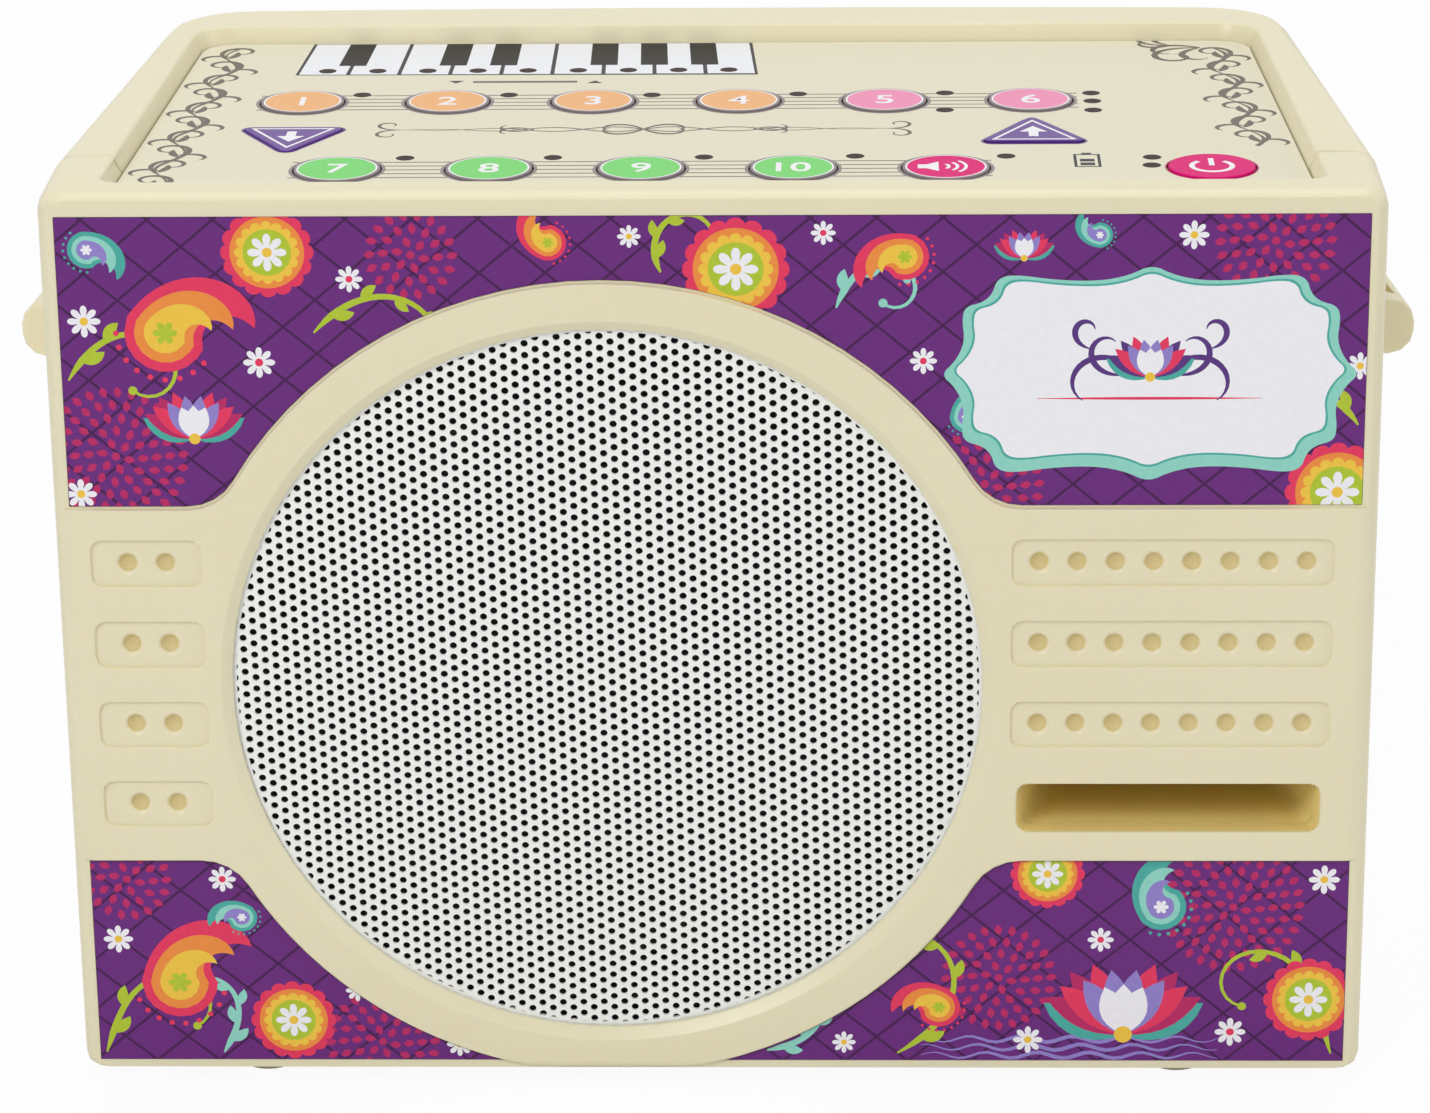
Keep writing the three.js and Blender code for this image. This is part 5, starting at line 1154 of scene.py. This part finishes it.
# Loudspeaker grille
# A steel disc punched with round holes on a 2 mm triangular pitch and sprayed in white enamel. It is
# clamped behind the lip of the ring.

HOLE_PITCH = 2.0
HOLE_RADIUS = 0.62
COLUMN_STEP = HOLE_PITCH * math.sqrt(3) / 2
COLUMN_PAIRS = 38
HOLES_IN_COLUMN = 64
GRILLE_FRONT_Y = -58.7
GRILLE_TURN = 1.05
SHEET_STEEL_THICKNESS = 0.45
RIM_THICKNESS = 0.7
LAST_HOLE_RADIUS = 62.4
RIM_INNER_RADIUS = 61.3
RIM_OUTER_RADIUS = 63.6

# White enamel, sprayed on steel: satin, and a little thicker and paler round each punched hole
white_enamel = finish("white_enamel_on_steel", "#FAFBF8", "#F1F3EF", 1.1, 0.3, 0.006, (0.3, 0.42))

# One six-sided cell of the sheet round one hole, then a pair of cells, a column of pairs and the sheet
select_only()
bpy.ops.mesh.primitive_circle_add(vertices=6, radius=HOLE_PITCH / math.sqrt(3) * MM,
                                  rotation=(0, 0, math.radians(30)))
grille = bpy.context.object
grille.name = "loudspeaker_grille"
bpy.ops.object.transform_apply(rotation=True)
bpy.ops.mesh.primitive_circle_add(vertices=10, radius=HOLE_RADIUS * MM)
edit(joined(grille, bpy.context.object))
bpy.ops.mesh.bridge_edge_loops()
bpy.ops.mesh.quads_convert_to_tris()
leave_edit()
cell_corners = len(grille.data.vertices)
for count, across, up in ((2, COLUMN_STEP, HOLE_PITCH / 2), (HOLES_IN_COLUMN, 0, HOLE_PITCH),
                          (COLUMN_PAIRS, 2 * COLUMN_STEP, 0)):
    apply_modifier(grille, "ARRAY", count=count, use_relative_offset=False, use_constant_offset=True,
                   constant_offset_displace=(across * MM, up * MM, 0))
sheet_middle = Vector(((COLUMN_PAIRS - 0.5) * COLUMN_STEP, (HOLES_IN_COLUMN - 0.5) * HOLE_PITCH / 2, 0))
grille.data.transform(Matrix.Translation(-sheet_middle * MM))
outside = set()
for first in range(0, len(grille.data.vertices), cell_corners):
    corners = grille.data.vertices[first:first + cell_corners]
    middle = sum((corner.co for corner in corners), Vector()) / cell_corners
    if middle.length > LAST_HOLE_RADIUS * MM:
        outside.update(range(first, first + cell_corners))
delete_parts(grille, "VERT", lambda corner: corner.index in outside)
bpy.ops.mesh.select_all(action="SELECT")
bpy.ops.mesh.remove_doubles(threshold=0.02 * MM)
face_outwards()
if grille.data.polygons[0].normal.z < 0:
    grille.data.flip_normals()
apply_modifier(grille, "SOLIDIFY", thickness=SHEET_STEEL_THICKNESS * MM, offset=-1.0)
stand_up = Matrix.Rotation(math.radians(90), 4, "X")
swing = Matrix.Rotation(math.radians(-GRILLE_TURN), 4, "Y")
seat = Matrix.Translation(Vector((RING_CENTRE[0], GRILLE_FRONT_Y, RING_CENTRE[1])) * MM)
grille.data.transform(seat @ swing @ stand_up)

# The plain rim round the punched sheet, a flat ring of its own thickness
rim_middle = Vector((RING_CENTRE[0], 0, RING_CENTRE[1])) * MM
select_only()
bpy.ops.mesh.primitive_circle_add(vertices=144, radius=RIM_INNER_RADIUS * MM,
                                  location=rim_middle + Vector((0, GRILLE_FRONT_Y + 0.05, 0)) * MM,
                                  rotation=(math.pi / 2, 0, 0))
rim = bpy.context.object
edit(rim)
wider = RIM_OUTER_RADIUS / RIM_INNER_RADIUS
for shift, scale in ((0, wider), (RIM_THICKNESS, 1), (0, 1 / wider)):
    bpy.ops.mesh.extrude_edges_move(TRANSFORM_OT_translate={"value": (0, shift * MM, 0)})
    bpy.ops.transform.resize(value=(scale, 1, scale), center_override=rim_middle)
bpy.ops.mesh.select_all(action="SELECT")
bpy.ops.mesh.remove_doubles(threshold=MERGE_DISTANCE)
leave_edit()
edit(rim, "DESELECT")
bpy.ops.mesh.select_non_manifold()
bpy.ops.mesh.bridge_edge_loops()
face_outwards()
settle(joined(grille, rim), 50)
fit(grille, "case", "white_enamel_steel", white_enamel, "speaker_grille")

# Loudspeaker
# A 130 mm cone driver behind the grille: pressed steel basket, foam surround, black paper cone and
# cap, copper coil on a cloth spider, and a ferrite ring between steel plates.

# Pressed steel, zinc-plated, and the foam, paper, cloth, wire and ferrite of the moving parts
black_foam = finish("black_foam", "#232325", "#161618", 2.5, 0.7, 0.1, (0.85, 0.95))
black_paper = finish("black_pulp_paper", "#28282B", "#1B1B1D", 4, 0.6, 0.06, (0.75, 0.9))
spider_cloth = finish("resin_dipped_cloth", "#CFA552", "#B98E3E", 3, 0.8, 0.08, (0.7, 0.85))
copper_wire = finish("enamelled_copper_wire", "#C27C42", "#A9642F", 2, 0.3, 0.03, (0.25, 0.4),
                     (0.05, 1, 0.05), Metallic=1.0)
ferrite = finish("ground_ferrite", "#414144", "#313134", 5, 0.35, 0.02, (0.55, 0.7))
paint(black_foam, "grille_gasket", "speaker_surround")
paint(black_paper, "speaker_cone", "dust_cap")
paint(spider_cloth, "speaker_spider")
paint(copper_wire, "voice_coil")
paint(ferrite, "speaker_magnet")
paint(zinc_steel, "speaker_basket", "speaker_top_plate", "speaker_yoke",
      *(f"speaker_screw_{i}" for i in range(1, 5)))

# Sound port
# A flared ivory duct pushed in behind the slot in the belt, open at its back end inside the case.

# The duct takes the port's painted warm light too: a yellower ABS that stands in for light bounced inside the
# port
paint(port_painted_light_abs, "port_duct")

# Electronics, battery and leads
# A main board on moulded posts with a finned heat sink, and a shrink-wrapped battery pack in a tray
# under a screwed clamp, joined by insulated leads.

# Cast aluminium, shrink film, and the soft vinyl of the leads
cast_aluminium = finish("cast_aluminium", "#B6BABE", "#9EA2A6", 8, 0.7, 0.02, (0.4, 0.55), Metallic=1.0)
battery_film = finish("blue_shrink_film", "#3A6FC4", "#2B5CB0", 12, 1.6, 0.02, (0.18, 0.3))
red_vinyl = finish("red_lead_vinyl", "#B93232", "#A32626", 4, 0.5, 0.01, (0.4, 0.5))
black_vinyl = finish("black_lead_vinyl", "#2A2C30", "#1E2024", 4, 0.5, 0.01, (0.4, 0.5))
paint(board_mask, "main_board")
paint(cast_aluminium, "heat_sink")
paint(battery_film, "battery_pack")
paint(zinc_steel, "battery_clamp", "clamp_screw")
paint(red_vinyl, "speaker_lead")
paint(black_vinyl, "battery_lead")

# Sockets
# A power socket with a centre pin and a line-out jack, each a black moulded round flange and barrel in
# the sunk panel of the back, held by its body behind the wall.

SOCKET_LEVEL_Z = 42.0
SOCKET_WALL_FRONT_Y = 55.6
SOCKET_WALL_BACK_Y = 58.6
SOCKET_FACE_Y = 60.2
SOCKET_BODY = Vector((11, 14, 11))
BARREL_RADIUS = 4.6
BORE_DEPTH = 11
# Place along X, radius of the bore and radius of the centre pin
SOCKETS = {"dc_socket": (36.0, 2.9, 1.0), "line_out_socket": (60.0, 1.8, 0.0)}

# Black moulded ABS: glossy, with a faint waviness
black_plastic = finish("black_moulded_abs", "#232326", "#17171A", 9, 0.8, 0.01, (0.22, 0.34))

for node, (x, bore, pin) in SOCKETS.items():
    centre = (x, 0, SOCKET_LEVEL_Z)
    body_y = SOCKET_WALL_FRONT_Y - SOCKET_BODY.y / 2
    bpy.ops.mesh.primitive_cube_add(size=1, location=Vector((x, body_y, SOCKET_LEVEL_Z)) * MM,
                                    scale=SOCKET_BODY * MM)
    body = bpy.context.object
    body.name = f"{node}_moulding"
    bore_steps = [(bore + 0.01, SOCKET_FACE_Y - BORE_DEPTH), (bore + 0.01, SOCKET_FACE_Y + 2)]
    bore_cutter = turned("bore", bore_steps, centre)
    barrel_steps = [(BARREL_RADIUS, SOCKET_WALL_FRONT_Y - 0.4), (BARREL_RADIUS, SOCKET_WALL_BACK_Y + 0.1)]
    barrel = turned("barrel", barrel_steps, centre)
    flange = turned("flange", [
        (6.8, SOCKET_WALL_BACK_Y),
        (7.0, SOCKET_WALL_BACK_Y + 0.2),
        (7.0, SOCKET_FACE_Y - 0.4),
        (6.6, SOCKET_FACE_Y),
    ], centre)
    combine(body, "UNION", barrel, flange)
    combine(body, "DIFFERENCE", bore_cutter)
    settle(body)
    fit(body, "case", "black_plastic", black_plastic, node)
    if pin:
        post = turned(f"{node}_pin", [
            (pin, SOCKET_FACE_Y - BORE_DEPTH - 0.5),
            (pin, SOCKET_WALL_BACK_Y - 0.4),
            (pin * 0.6, SOCKET_WALL_BACK_Y),
        ], centre, sides=24)
        settle(post)
        fit(post, "case", "zinc_steel", zinc_steel)
